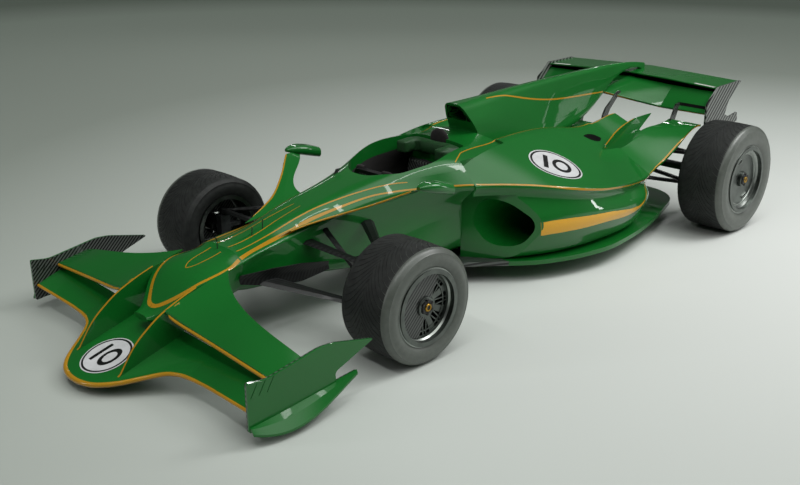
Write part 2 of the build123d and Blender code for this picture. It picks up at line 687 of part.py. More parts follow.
# Rear suspension on the left.
REAR_POST_X = 45
REAR_POST_Y = 25
REAR_POST_H = 120
rear_in = REAR_JOINT_Y - REAR_POST_Y
rear_out = REAR_JOINT_Y + REAR_POST_Y
rear_upright = Pos(REAR_X, REAR_JOINT_Y, REAR_Z) * Box(2 * REAR_POST_X, 2 * REAR_POST_Y, 2 * REAR_POST_H)
rear_upright -= rod((REAR_X, rear_in - 1, REAR_Z), (REAR_X, rear_out + 1, REAR_Z), STUB_R + RUN_GAP)
keep("rear_uprights", both(rear_upright))
# Rear wishbones. Columns: node, joint height over the axle, legs as (lead ahead of the axle, y, z).
REAR_ARMS = [
    ("rear_upper_wishbones", 95, [(212, 40, 430), (-108, 20, 420)]),
    ("rear_lower_wishbones", -95, [(252, 40, 250), (-108, 20, 260)]),
]
REAR_ROOT_CHORD = 60
REAR_TIP_CHORD = 40
REAR_ROOT_T = 20
for name, height, roots in REAR_ARMS:
    joint = (REAR_X, REAR_JOINT_Y, REAR_Z + height)
    legs = []
    for d, y, z in roots:
        root = (REAR_X + d, y, z)
        legs.append(blade(root, joint, REAR_ROOT_CHORD, REAR_TIP_CHORD, REAR_ROOT_T, LEG_TIP_T))
    arm = legs[0] + legs[1] - gearbox - rear_upright
    arm &= box(REAR_X - TOP_Z, REAR_X + TOP_Z, 0, rear_in, 0, TOP_Z)
    keep(name, both(biggest(arm)))


# Wheels, written about the wheel centre with the outer side to +y.
def ring(points):
    """Revolve a (y, r) outline about the wheel axis."""
    return revolve(make_face(Plane((0, 0, 0), (0, 1, 0), (1, 0, 0)) * Polyline(*points, close=True)), Axis.Y)


# Tyre sidewall: inset from the full width, share of the height from the lip to the tread.
SIDEWALL = [(BEAD_INSET, 0.02), (0, 0.35), (0, 0.6), (12, 0.88), (36, 1)]
WINDOW_COUNT = 8
WINDOW_IN_R = 62
WINDOW_HALF_IN = 13
WINDOW_HALF_OUT = 38
WINDOW_EDGE = 14


def tyre(radius, width, lip):
    """Tyre from bead to tread."""
    half = width / 2
    right = [(half - BEAD_INSET, lip - LIP_H)]
    right += [(half - inset, between(lip, radius, share)) for inset, share in SIDEWALL]
    return ring(right + [(-y, r) for y, r in reversed(right)])


def rim(lip, width, hub_bore, hub_in, windows):
    """Rim with lips, barrel, windowed or plain web and a bored hub."""
    seat_r = lip - LIP_H
    bead = width / 2 - BEAD_INSET
    edge = bead + LIP_WALL
    web_y = width / 2 - WEB_INSET
    right = [(edge, seat_r - BARREL_WALL), (edge, lip), (bead, lip), (bead, seat_r)]
    wheel = ring(right + [(-y, r) for y, r in reversed(right)])
    web_r = seat_r - BARREL_WALL + 1
    web = rod((0, web_y - WEB_T, 0), (0, web_y, 0), web_r)
    out_r = web_r - WINDOW_EDGE
    half = [(WINDOW_IN_R, WINDOW_HALF_IN), (out_r, WINDOW_HALF_OUT)]
    corners = half + [(r, -w) for r, w in reversed(half)]
    opening = extrude(make_face(Plane.XZ * Polyline(*corners, close=True)), amount=width, both=True)
    for i in range(windows):
        web -= Rotation(0, 360 / windows * i, 0) * opening
    wheel += web
    wheel += rod((0, hub_in, 0), (0, web_y + HUB_PROUD, 0), HUB_R)
    return wheel - rod((0, -width, 0), (0, width, 0), hub_bore)


COVER_CUT_X = -22
COVER_TURN = -25
COVER_T_DISC = 6
FRONT_HUB_IN = -66
REAR_HUB_IN = -60
front_web_y = FRONT_TYRE_W / 2 - WEB_INSET
cover_r = FRONT_LIP_R - LIP_H - BARREL_WALL - 3
disc = rod((0, front_web_y, 0), (0, front_web_y + COVER_T_DISC, 0), cover_r)
disc -= box(-2 * cover_r, COVER_CUT_X, 0, FRONT_TYRE_W, -2 * cover_r, 2 * cover_r)
disc = Rotation(0, COVER_TURN, 0) * (disc - rod((0, 0, 0), (0, FRONT_TYRE_W, 0), HUB_R))
front_rim = rim(FRONT_LIP_R, FRONT_TYRE_W, STUB_R + RUN_GAP, FRONT_HUB_IN, WINDOW_COUNT)
shaft_end = REAR_TYRE_W / 2 - WEB_INSET + HUB_PROUD
WHEELS = [
    ("tyre_front_", 0, FRONT_Y, FRONT_Z, tyre(FRONT_TYRE_R, FRONT_TYRE_W, FRONT_LIP_R)),
    ("rim_front_", 0, FRONT_Y, FRONT_Z, front_rim),
    ("wheel_cover_front_", 0, FRONT_Y, FRONT_Z, disc),
    ("tyre_rear_", REAR_X, REAR_Y, REAR_Z, tyre(REAR_TYRE_R, REAR_TYRE_W, REAR_LIP_R)),
    ("rim_rear_", REAR_X, REAR_Y, REAR_Z, rim(REAR_LIP_R, REAR_TYRE_W, STUB_R, REAR_HUB_IN, 0)),
    ("driveshaft_", REAR_X, REAR_Y, REAR_Z, rod((0, FLANGE_Y - REAR_Y, 0), (0, shaft_end, 0), STUB_R)),
]
for stem, x, y, z, shape in WHEELS:
    placed = Pos(x, y, z) * shape
    keep(stem + "left", placed)
    keep(stem + "right", flip(placed))

for name, shape in SOLIDS.items():
    export_step(Pos(X_SHIFT, 0, 0) * shape, "parts/" + name + ".step")
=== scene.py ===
import json
import math

import bmesh
import bpy
from mathutils import Matrix, Vector
from mathutils.bvhtree import BVHTree
from mathutils.geometry import interpolate_bezier


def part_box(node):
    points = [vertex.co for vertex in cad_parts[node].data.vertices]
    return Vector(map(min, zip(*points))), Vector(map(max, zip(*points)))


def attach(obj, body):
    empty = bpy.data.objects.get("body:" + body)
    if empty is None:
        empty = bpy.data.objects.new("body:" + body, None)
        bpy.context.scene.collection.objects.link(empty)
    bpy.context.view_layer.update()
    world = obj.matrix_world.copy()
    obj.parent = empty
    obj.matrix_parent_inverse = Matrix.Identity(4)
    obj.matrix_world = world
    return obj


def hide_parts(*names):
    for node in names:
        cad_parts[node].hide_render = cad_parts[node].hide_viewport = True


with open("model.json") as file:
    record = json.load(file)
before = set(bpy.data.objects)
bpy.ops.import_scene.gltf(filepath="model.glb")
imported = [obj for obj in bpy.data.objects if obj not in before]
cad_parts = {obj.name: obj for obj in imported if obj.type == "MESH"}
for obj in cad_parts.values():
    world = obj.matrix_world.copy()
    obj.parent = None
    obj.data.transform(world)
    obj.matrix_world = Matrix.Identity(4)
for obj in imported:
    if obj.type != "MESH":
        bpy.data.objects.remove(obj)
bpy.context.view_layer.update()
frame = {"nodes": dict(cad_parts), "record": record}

bl_info = {
    "name": "Race car dressing",
    "version": (1, 0, 0),
    "blender": (4, 5, 0),
    "location": "View3D > Sidebar > Race car",
    "description": "Paint, stripes, tyres and fittings of an open-wheel race car",
    "category": "Object",
}

MM = 0.001


def middle(node):
    """Centre of a CAD node."""
    low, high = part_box(node)
    return (low + high) / 2


WHEELS = [end + "_" + side for end in ("front", "rear") for side in ("left", "right")]
HUBS = {wheel: middle("rim_" + wheel) for wheel in WHEELS}
AXLE_X = HUBS["front_left"].x


def corners():
    """Each wheel's name, end of the car, hub and outward sign."""
    for wheel, hub in HUBS.items():
        yield wheel, wheel.split("_")[0], hub, 1 if hub.y > 0 else -1


def car(x, y, z):
    """A place in mm, measured from the ground under the front axle, as a point in the frame."""
    return Vector((AXLE_X + x * MM, y * MM, z * MM))


def linear(code):
    """An sRGB hex colour as linear RGBA."""
    out = []
    for i in (1, 3, 5):
        c = int(code[i:i + 2], 16) / 255
        out.append(c / 12.92 if c <= 0.04045 else ((c + 0.055) / 1.055) ** 2.4)
    return (*out, 1.0)


# Sizes and colours that a user would change


class CarLook(bpy.types.PropertyGroup):
    """Sizes and colours of the race car's finish."""

    paint: bpy.props.FloatVectorProperty(
        name="Paint", description="Colour of the bodywork", subtype="COLOR", size=3,
        default=linear("#0c6420")[:3], min=0, max=1)
    stripe: bpy.props.FloatVectorProperty(
        name="Stripe", description="Colour of the stripes and edge bands", subtype="COLOR", size=3,
        default=linear("#b28216")[:3], min=0, max=1)
    stripe_lift: bpy.props.FloatProperty(
        name="Stripe lift", description="Height of a stripe over the skin", default=0.6 * MM, unit="LENGTH")
    weave: bpy.props.FloatProperty(
        name="Weave", description="Spacing of the carbon twill's ribs", default=15 * MM, unit="LENGTH")
    groove_count: bpy.props.IntProperty(
        name="Grooves", description="Tread grooves round a tyre", default=52, min=12)
    groove_width: bpy.props.FloatProperty(
        name="Groove width", description="Width of a tread groove", default=3 * MM, unit="LENGTH")
    groove_depth: bpy.props.FloatProperty(
        name="Groove depth", description="Depth of a tread groove", default=2.5 * MM, unit="LENGTH")


class StudioLook(bpy.types.PropertyGroup):
    """Light and floor of the studio."""

    lamp: bpy.props.FloatProperty(
        name="Lamp", description="Strength of all lamps together", default=1.0, min=0)
    world: bpy.props.FloatProperty(
        name="Fill", description="Brightness of the lit ceiling", default=1.5, min=0)


# Finishes

FINISH = {}


def add(tree, kind, links=(), **values):
    """Add one shader node, set its values and sockets, and link its inputs."""
    node = tree.nodes.new("ShaderNode" + kind)
    for key, value in values.items():
        if key.startswith("in_"):
            node.inputs[int(key[3:])].default_value = value
        elif key in node.inputs:
            node.inputs[key].default_value = value
        else:
            setattr(node, key, value)
    for socket, source in links:
        tree.links.new(source, node.inputs[socket])
    return node


def finish(name, **sockets):
    """A material with its Principled shader, the shader's plain values set, and Object coordinates."""
    material = bpy.data.materials.new(name)
    material.use_nodes = True
    tree = material.node_tree
    tree.nodes.clear()
    shader = add(tree, "BsdfPrincipled")
    for key, value in sockets.items():
        shader.inputs[key.replace("_", " ")].default_value = value
    add(tree, "OutputMaterial", [("Surface", shader.outputs["BSDF"])])
    place = add(tree, "TexCoord").outputs["Object"]
    FINISH[name] = material
    return tree, shader, place


def ramp(tree, source, stops):
    """Map a value to colours. Stops: position, sRGB hex or linear colour."""
    node = add(tree, "ValToRGB", [("Fac", source)])
    points = node.color_ramp.elements
    while len(points) < len(stops):
        points.new(0.5)
    for point, (position, colour) in zip(points, stops):
        point.position = position
        point.color = linear(colour) if isinstance(colour, str) else colour
    return node.outputs["Color"]


def shade(colour, share):
    """A linear colour made darker or lighter."""
    return (*[min(1.0, c * share) for c in colour], 1.0)


def relief(tree, shader, height, depth, strength, socket="Normal"):
    """Lay a height pattern on the surface."""
    bump = add(tree, "Bump", [("Height", height)], Strength=strength, Distance=depth)
    tree.links.new(bump.outputs["Normal"], shader.inputs[socket])


def noise(tree, place, size, detail):
    """Cloudy values, 0 to 1, with patches of a size in metres."""
    return add(tree, "TexNoise", [("Vector", place)], Scale=1 / size, Detail=detail).outputs["Fac"]


# Sockets of a Mix node, by number because its names repeat.
MIX_SHARE, MIX_A, MIX_B, MIX_COLOUR = 0, 6, 7, 2


def blend(tree, share, first, second, mode="MIX"):
    """Mix two colours by a share: a number or another node's output."""
    node = add(tree, "Mix", [(MIX_A, first), (MIX_B, second)], data_type="RGBA", blend_type=mode)
    if isinstance(share, float):
        node.inputs[MIX_SHARE].default_value = share
    else:
        tree.links.new(share, node.inputs[MIX_SHARE])
    return node.outputs[MIX_COLOUR]


def lacquered(name, colour, flake):
    """Base coat under clear lacquer: deep colour, mirror-like highlights, faint flake, orange peel."""
    tree, shader, place = finish(
        name, Roughness=0.45, Coat_Weight=1.0, Coat_Roughness=0.03, Coat_IOR=1.45, Specular_IOR_Level=0.15)
    cloud = noise(tree, place, 450 * MM, 2.0)
    # Flakes are tenths of a millimetre wide; they are drawn at 3 mm so that a render shows their sparkle.
    fleck = add(tree, "TexVoronoi", [("Vector", place)], Scale=1 / (3 * MM))
    wide = ramp(tree, cloud, [(0.3, shade(colour, 0.86)), (0.7, shade(colour, 1.12))])
    fine = ramp(tree, fleck.outputs["Distance"],
                [(0.0, shade(colour, 1.0 + flake)), (0.6, shade(colour, 0.95))])
    both = blend(tree, 0.4, wide, fine)
    tree.links.new(both, shader.inputs["Base Color"])
    relief(tree, shader, noise(tree, place, 9 * MM, 1.0), 0.02 * MM, 0.25, "Coat Normal")
    return tree, shader, place, both


def bands(tree, place, pitch):
    """Diagonal bands, 0 to 1, at a pitch in metres."""
    # A band texture set to DIAGONAL repeats every 2 pi / 10 of the summed coordinates.
    wave = add(tree, "TexWave", [("Vector", place)], bands_direction="DIAGONAL",
               Scale=2 * math.pi / 10 / (pitch * math.sqrt(2)))
    return wave.outputs["Fac"]


def ribbed(tree, ribs, dark, light):
    """Colour of the twill's ribs."""
    return ramp(tree, ribs, [(0.42, dark), (0.62, light)])


def woven_carbon(name, pitch, dark, light, gloss=0.7):
    """Twill carbon under clear resin: black with grey diagonal ribs that catch the light, and a gloss."""
    # Real ribs are 3 to 4 mm apart; they are drawn at the set pitch so that a render shows them.
    tree, shader, place = finish(
        name, Roughness=0.45, Coat_Weight=gloss, Coat_Roughness=0.06, Specular_IOR_Level=0.3)
    ribs = bands(tree, place, pitch)
    # The ribs are crossed by the finer steps of the tows.
    turned = add(tree, "Mapping", [("Vector", place)], Scale=(1, -1, -1))
    steps = bands(tree, turned.outputs["Vector"], pitch / 4)
    cut = ramp(tree, steps, [(0.3, "#b8b8b8"), (0.7, "#ffffff")])
    colour = blend(tree, 1.0, ribbed(tree, ribs, dark, light), cut, "MULTIPLY")
    tree.links.new(colour, shader.inputs["Base Color"])
    relief(tree, shader, ribs, 0.3 * MM, 0.4)


def part_painted(name, paint, pitch, axis, edge, side):
    """Lacquer on the given side (a Math node's test) of a plane across an axis, bare twill on the other."""
    tree, shader, place, colour = lacquered(name, paint, GREEN_FLAKE)
    bare = ribbed(tree, bands(tree, place, pitch), *BARE_CARBON)
    split = add(tree, "SeparateXYZ", [("Vector", place)])
    painted = add(tree, "Math", [(0, split.outputs[axis])], operation=side, in_1=edge)
    tree.links.new(blend(tree, painted.outputs[0], bare, colour), shader.inputs["Base Color"])


def mottled(name, dark, light, grain, depth, **sockets):
    """A finish whose colour drifts between two tones, with a grain of a size and depth in mm."""
    tree, shader, place = finish(name, **sockets)
    colour = ramp(tree, noise(tree, place, 22 * grain * MM, 4.0), [(0.32, dark), (0.68, light)])
    tree.links.new(colour, shader.inputs["Base Color"])
    relief(tree, shader, noise(tree, place, grain * MM, 3.0), depth * MM, 0.6)


def turned_metal(name, dark, light, pitch):
    """Turned or brushed metal: fine rings round the wheel axis, their pitch in mm, stretch the highlights."""
    tree, shader, place = finish(name, Metallic=1.0, Roughness=0.32)
    colour = ramp(tree, noise(tree, place, 60 * MM, 3.0), [(0.3, dark), (0.7, light)])
    tree.links.new(colour, shader.inputs["Base Color"])
    fine = 1 / (pitch * MM)
    rub = add(tree, "Mapping", [("Vector", place)], Scale=(fine, 0.02 * fine, fine))
    lines = noise(tree, rub.outputs["Vector"], 1.0, 2.0)
    rough = add(tree, "MapRange", [("Value", lines)], in_3=0.22, in_4=0.45)
    tree.links.new(rough.outputs["Result"], shader.inputs["Roughness"])


GREEN_FLAKE, GOLD_FLAKE = 0.35, 0.2
BARE_CARBON = ("#090a0a", "#585c59")
# Where the lacquer stops: on the front end plates, and on the floor ahead of the pods.
PLATE_EDGE = 881.5 * MM
FLOOR_EDGE = AXLE_X - 980 * MM


def make_finishes(look):
    """All finishes of the car."""
    # Bodywork: deep green with sharp white highlights.
    lacquered("green_lacquer", look.paint, GREEN_FLAKE)
    # Stripes: dark gold under the same gloss.
    lacquered("gold_lacquer", look.stripe, GOLD_FLAKE)
    # The flank stripe is a paler gold, so that it comes out as bright as on the photo's better-lit flank.
    lacquered("flank_gold", shade(look.stripe, 1.8)[:3], GOLD_FLAKE)
    # Bare carbon: black with grey ribs under a gloss.
    woven_carbon("carbon_twill", look.weave, *BARE_CARBON)
    # Suspension arms and turning vanes: a dull skin of the same cloth, its tones darker as painted shade
    # under the body.
    woven_carbon("arm_twill", look.weave, "#030404", "#1f2221", 0.12)
    # The rear end plates have a heavier cloth, with ribs nearly twice as far apart; its tones are paler, as
    # painted light on these well-lit plates.
    woven_carbon("heavy_lit_twill", look.weave * 1.8, "#141515", "#8c908c")
    # Front end plates and floor: green lacquer outside, bare ribs where it stops.
    part_painted("plate_left", look.paint, look.weave, "Y", PLATE_EDGE, "GREATER_THAN")
    part_painted("plate_right", look.paint, look.weave, "Y", -PLATE_EDGE, "LESS_THAN")
    part_painted("floor_pan", look.paint, look.weave, "X", FLOOR_EDGE, "LESS_THAN")
    # Vulcanised rubber: tread scrubbed dark and dull; outer walls a paler grey with a glossier skin.
    mottled("tread_rubber", "#151716", "#242725", 1.5, 0.4, Roughness=0.62, Specular_IOR_Level=0.4)
    mottled("wall_rubber", "#50554f", "#595e58", 1.2, 0.15, Roughness=0.4, Specular_IOR_Level=0.7)
    # Forged wheel metal: satin grey on the web; a paler, brighter copy of it on the rolled lip, the barrel
    # and the slot rims, as painted highlight.
    turned_metal("satin_rim", "#5a5e5b", "#707571", 1.2)
    turned_metal("bright_lip", "#8b908c", "#a3a8a3", 1.2)
    # Machined steel of shafts and buckle: cool grey with drawn-out highlights.
    turned_metal("turned_steel", "#6f7172", "#8b8d8e", 0.8)
    # Brass-coloured anodising on the wheel nuts' lock rings: warm and bright.
    turned_metal("brass_collar", "#9a7428", "#c29a45", 0.6)
    # Sand-cast alloy: dull grey, grainy skin.
    mottled("cast_alloy", "#4d4f50", "#676a6b", 1.8, 0.5, Metallic=1.0, Roughness=0.55)
    # Black anodised or powder-coated fittings: near black, half matt.
    mottled("black_coat", "#0b0c0c", "#181919", 0.8, 0.15, Roughness=0.45)
    # Painted shade in the airbox mouth, the disc slots, the rear wing's slot and the exhaust outlets: flat
    # black that takes no highlight.
    mottled("soot_black", "#030303", "#080807", 2, 0.3, Roughness=0.9, Specular_IOR_Level=0.1)
    # Suede of the bolster, lining and hand grips: black brown, soft, no gloss.
    mottled("black_suede", "#0f0d0c", "#1a1615", 1.1, 0.5,
            Roughness=0.9, Sheen_Weight=0.08, Sheen_Roughness=0.4)
    # Hide on the collar round the helmet, dyed to the paint: dull dark green.
    mottled("green_hide", "#08330f", "#0b4315", 1.6, 0.4, Roughness=0.6)
    # Woven nylon belt: matt charcoal with a coarse grain.
    mottled("belt_web", "#17181a", "#25272a", 1.4, 0.6, Roughness=0.8)
    # Cast vinyl sheet of the number discs: flat colour with a slight stipple and a soft gloss.
    mottled("white_vinyl", "#c4c4c6", "#d2d2d4", 2.2, 0.05, Roughness=0.35)
    mottled("black_vinyl", "#0d0d0e", "#151516", 2.2, 0.05, Roughness=0.35)
    # Silvered glass: reflects all, with a faint haze.
    mottled("mirror_glass", "#aeb4b2", "#bcc1bf", 3, 0.002, Metallic=1.0, Roughness=0.04)
    # Painted highlight along the rear flap: satin pale grey.
    mottled("pale_strip", "#b2b5b0", "#c2c5c0", 2, 0.05, Roughness=0.4)


# Mesh helpers


# Angle between faces from which an edge is drawn sharp, in degrees.
SHARP = 40


def piece(name, bm, finishes, body="chassis", stands_for=(), sharp=SHARP):
    """Turn a bmesh into a piece that rides on a body."""
    weld(bm, 0.02)
    bmesh.ops.recalc_face_normals(bm, faces=bm.faces[:])
    mesh = bpy.data.meshes.new(name)
    bm.to_mesh(mesh)
    bm.free()
    mesh.shade_smooth()
    mesh.set_sharp_from_angle(angle=math.radians(sharp))
    obj = bpy.data.objects.new(name, mesh)
    bpy.context.scene.collection.objects.link(obj)
    for key in [finishes] if isinstance(finishes, str) else finishes:
        mesh.materials.append(FINISH[key])
    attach(obj, body)
    if stands_for:
        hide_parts(*stands_for)
    return obj


def everything(bm):
    """All of a bmesh's geometry."""
    return bm.verts[:] + bm.edges[:] + bm.faces[:]


def weld(bm, distance):
    """Join vertices closer than a distance in mm."""
    bmesh.ops.remove_doubles(bm, verts=bm.verts[:], dist=distance * MM)


def pose(bm, matrix, verts=None):
    """Move some vertices, or all, by a matrix."""
    bmesh.ops.transform(bm, matrix=matrix, verts=verts or bm.verts[:])


def new_verts(made):
    """The vertices among what an extrude made."""
    return [part for part in made["geom"] if isinstance(part, bmesh.types.BMVert)]


def mirrored(bm):
    """Add the same geometry on the car's other side."""
    bmesh.ops.mirror(bm, geom=everything(bm), matrix=Matrix(), merge_dist=-1.0, axis="Y")


def skin(*names):
    """The outer skin of some CAD nodes, for laying stripes and decals on."""
    points, faces = [], []
    for name in names:
        mesh = frame["nodes"][name].data
        start = len(points)
        points += [v.co.copy() for v in mesh.vertices]
        faces += [[start + i for i in p.vertices] for p in mesh.polygons]
    return BVHTree.FromPolygons(points, faces)


def smooth_line(points, step):
    """Points about one step apart on a smooth line through the given points."""
    ends = [points[0] * 2 - points[1], *points, points[-1] * 2 - points[-2]]
    line = []
    for before, start, end, after in zip(ends, ends[1:], ends[2:], ends[3:]):
        count = max(2, round((end - start).length / step) + 1)
        leave, arrive = start + (end - before) / 6, end - (after - start) / 6
        line += interpolate_bezier(start, leave, arrive, end, count)[:-1]
    return line + [points[-1]]


def spread(values, share):
    """The value at a share, 0 to 1, along a list of evenly spaced ones."""
    at = share * (len(values) - 1)
    low = min(int(at), len(values) - 2)
    return values[low] + (values[low + 1] - values[low]) * (at - low)


def strip(bm, line, widths, across):
    """A grid whose rows follow a line. Gives (vertex, row, sideways offset in metres) for each vertex."""
    rows = len(line) - 1
    grid = bmesh.ops.create_grid(bm, x_segments=across, y_segments=rows, size=1)["verts"]
    out = []
    for vert in grid:
        row = round((vert.co.y + 1) / 2 * rows)
        out.append((vert, row, vert.co.x / 2 * spread(widths, row / rows) * MM))
    return out


def stripe(bm, tree, points, widths, lift, across=4, step=18):
    """Lay a painted band on the skin along a line of points in mm. Widths in mm, spread along it."""
    line = smooth_line([car(*p) for p in points], step * MM)
    for vert, row, offset in strip(bm, line, widths, across):
        ahead = line[min(row + 1, len(line) - 1)] - line[max(row - 1, 0)]
        place, normal = tree.find_nearest(line[row])[:2]
        side = normal.cross(ahead).normalized()
        place, normal = tree.find_nearest(place + side * offset)[:2]
        vert.co = place + normal * lift


def band(name, nodes, points, widths, lift, key, across=4):
    """A stripe on the skin of some nodes and its mirror image, as one piece."""
    bm = bmesh.new()
    stripe(bm, skin(*nodes), points, widths, lift, across)
    mirrored(bm)
    piece(name, bm, key)


def drop(verts, tree, centre, across, up, lift):
    """Press flat vertices (x across, y up) on the skin along the disc's own axis."""
    axis = across.cross(up)
    clear = axis * (250 * MM)
    for vert in verts:
        start = centre + across * vert.co.x + up * vert.co.y + clear
        place = tree.ray_cast(start, -axis)[0]
        vert.co = (place if place else start - clear) + axis * lift


def revolve(bm, verts, centre, axis, steps):
    """Join vertices in a line and spin it a full turn."""
    edges = [bm.edges.new(pair) for pair in zip(verts, verts[1:])]
    bmesh.ops.spin(
        bm, geom=verts + edges, cent=centre, axis=axis, angle=2 * math.pi, steps=steps, use_merge=True)


def lathe(bm, profile, centre, outward, steps, reach=0, radius=0):
    """Spin a profile of (reach outwards, radius), each on top of a given one, about a wheel axis. In mm."""
    spots = [Vector((0, (reach + y) * MM * outward, (radius + r) * MM)) for y, r in profile]
    revolve(bm, [bm.verts.new(centre + spot) for spot in spots], centre, (0, 1, 0), steps)


def tube(bm, points, radii, sides=10, step=12):
    """A round rod along a smooth line of points in metres, its radius spread from a list in mm."""
    line = smooth_line(points, step * MM)
    sizes = [spread(radii, i / (len(line) - 1)) * MM for i in range(len(line))]
    ring = bmesh.ops.create_circle(bm, cap_ends=True, segments=sides, radius=sizes[0])["verts"]
    ahead = line[1] - line[0]
    turn = ahead.to_track_quat("Z", "Y").to_matrix().to_4x4()
    pose(bm, Matrix.Translation(line[0]) @ turn, ring)
    face = ring[0].link_faces[0]
    for i in range(1, len(line)):
        onward = line[min(i + 1, len(line) - 1)] - line[i - 1]
        made = bmesh.ops.extrude_face_region(bm, geom=[face])
        if i > 1:
            bmesh.ops.delete(bm, geom=[face], context="FACES_ONLY")
        face = next(part for part in made["geom"] if isinstance(part, bmesh.types.BMFace))
        bend = ahead.rotation_difference(onward).to_matrix().to_4x4()
        grow = Matrix.Scale(sizes[i] / sizes[i - 1], 4)
        move = Matrix.Translation(line[i]) @ bend @ grow @ Matrix.Translation(-line[i - 1])
        pose(bm, move, new_verts(made))
        ahead = onward


def block(bm, low, high, bevel, segments=3):
    """A box between two corners in metres, with rounded edges. Gives its vertices."""
    low, high = Vector(low), Vector(high)
    verts = bmesh.ops.create_cube(bm, size=1.0)["verts"]
    shape = Matrix.Translation((low + high) / 2) @ Matrix.Diagonal((*(high - low), 1))
    pose(bm, shape, verts)
    edges = list({e for v in verts for e in v.link_edges})
    made = bmesh.ops.bevel(
        bm, geom=edges, offset=bevel, affect="EDGES", segments=segments, profile=0.5, material=-1)
    return list({v for f in made["faces"] for v in f.verts} | {v for v in verts if v.is_valid})


def mm(x, y, z):
    """A vector given in mm."""
    return Vector((x, y, z)) * MM


def about_hub(hub, degrees):
    """Turn about a wheel's axis and move to its hub."""
    return Matrix.Translation(hub) @ Matrix.Rotation(math.radians(degrees), 4, "Y")


# Operators


class RACECAR_OT_panels(bpy.types.Operator):
    """Give every CAD panel, arm and wheel its finish"""
    bl_idname = "racecar.panels"
    bl_label = "Finish the panels"

    # Finish of each material slot of the record, and of nodes that have their own.
    SLOTS = {
        "green_paint": "green_lacquer",
        "carbon_weave": "carbon_twill",
        "black_trim": "black_coat",
        "cast_alloy": "cast_alloy",
        "shaft_steel": "turned_steel",
        "rim_alloy": "satin_rim",
        "tyre_rubber": "wall_rubber",
    }
    OWN = {
        "front_endplate_left": "plate_left",
        "front_endplate_right": "plate_right",
        "floor": "floor_pan",
        "rear_endplate_left": "heavy_lit_twill",
        "rear_endplate_right": "heavy_lit_twill",
    }
    # Words in the names of suspension arms.
    ARMS = ("wishbone", "pushrod")

    def execute(self, context):
        make_finishes(context.scene.car_look)
        for row in frame["record"]["subparts"]:
            obj = frame["nodes"][row["node"]]
            key = self.OWN.get(row["node"], self.SLOTS[row["material_slot"]])
            if key == "carbon_twill" and any(word in row["node"] for word in self.ARMS):
                key = "arm_twill"
            obj.data.materials.clear()
            obj.data.materials.append(FINISH[key])
        return {"FINISHED"}


class RACECAR_OT_tyres(bpy.types.Operator):
    """Make the four tyres with rounded walls and a grooved tread"""
    bl_idname = "racecar.tyres"
    bl_label = "Make the tyres"

    # Wall, from the bead out: inset from the full width in mm, share of the height from lip to tread.
    WALL = [
        (20, -0.09), (17, 0.0), (9, 0.1), (3.5, 0.22), (0.5, 0.36), (0, 0.46), (1.8, 0.6),
        (6, 0.72), (5.4, 0.745), (8, 0.77), (13, 0.86), (20, 0.925), (30, 0.965),
    ]
    # Radius, width and lip radius in mm.
    SIZES = {"front": (270, 302, 176), "rear": (326, 300, 201.5)}
    TURNS = 128
    ROWS = 22
    # How far a groove sweeps back from the shoulder to the middle, in radians.
    SWEEP = 0.5
    # Inset of the tread's edge, fall of the tread towards it, and the step down at the edge, in mm.
    SHOULDER = 27
    CROWN = 5
    STEP = 5
    # How far down the sides of the blocks reach, in groove depths, so that they sink into the carcass.
    SINK = 1.2
    TREAD_SHARP = 55

    def tread(self, bm, look, centre, radius, half, outward):
        """Curved tread blocks standing on the carcass, with open grooves between them."""
        columns = 2 * look.groove_count
        pitch = 2 * math.pi / look.groove_count
        groove = look.groove_width / (radius * MM)
        reach = half - self.SHOULDER
        grid = bmesh.ops.create_grid(bm, x_segments=columns, y_segments=self.ROWS, size=1)["verts"]
        column_of = {}
        for vert in grid:
            column = column_of[vert] = round((vert.co.x + 1) / 2 * columns)
            across = round((vert.co.y + 1) / 2 * self.ROWS) / self.ROWS * 2 - 1
            start = (column // 2) * pitch + (groove if column % 2 else 0.0)
            angle = start - self.SWEEP * (1 - abs(across)) ** 2
            fall = self.CROWN * across * across + (self.STEP if abs(across) == 1 else 0)
            r = (radius - fall) * MM
            sideways = across * reach * MM * outward
            vert.co = centre + Vector((math.sin(angle) * r, sideways, math.cos(angle) * r))
        # Every other column is a groove.
        cut = [face for face in bm.faces if min(column_of[v] for v in face.verts) % 2 == 0]
        bmesh.ops.delete(bm, geom=cut, context="FACES_ONLY")
        weld(bm, 0.05)
        # Sides of the blocks.
        border = [edge for edge in bm.edges if len(edge.link_faces) == 1]
        for vert in new_verts(bmesh.ops.extrude_edge_only(bm, edges=border)):
            arm = vert.co - centre
            arm.y = 0
            vert.co -= arm.normalized() * (look.groove_depth * self.SINK)
        bmesh.ops.delete(bm, geom=[edge for edge in bm.edges if not edge.link_faces], context="EDGES")

    def execute(self, context):
        look = context.scene.car_look
        for wheel, end, centre, outward in corners():
            radius, width, lip = self.SIZES[end]
            half = width / 2
            bottom = radius - look.groove_depth / MM
            side = [(half - inset, lip + (radius - lip) * share) for inset, share in self.WALL]
            # Crown of the carcass, under the tread.
            side += [(half - 40, bottom - 3), (60, bottom - 1)]
            bm = bmesh.new()
            lathe(bm, side + [(-y, r) for y, r in reversed(side)], centre, outward, self.TURNS)
            # Only the outer wall takes the paler grey; the inner wall takes the dark tread rubber.
            for face in bm.faces:
                inner = (face.calc_center_median().y - centre.y) * outward < 0
                face.material_index = 1 if inner else 0
            body = "wheel_" + wheel
            piece("tyre_carcass_" + wheel, bm, ["wall_rubber", "tread_rubber"], body,
                  ["tyre_" + wheel])
            bm = bmesh.new()
            self.tread(bm, look, centre, radius, half, outward)
            piece("tyre_tread_" + wheel, bm, "tread_rubber", body, sharp=self.TREAD_SHARP)
        return {"FINISHED"}


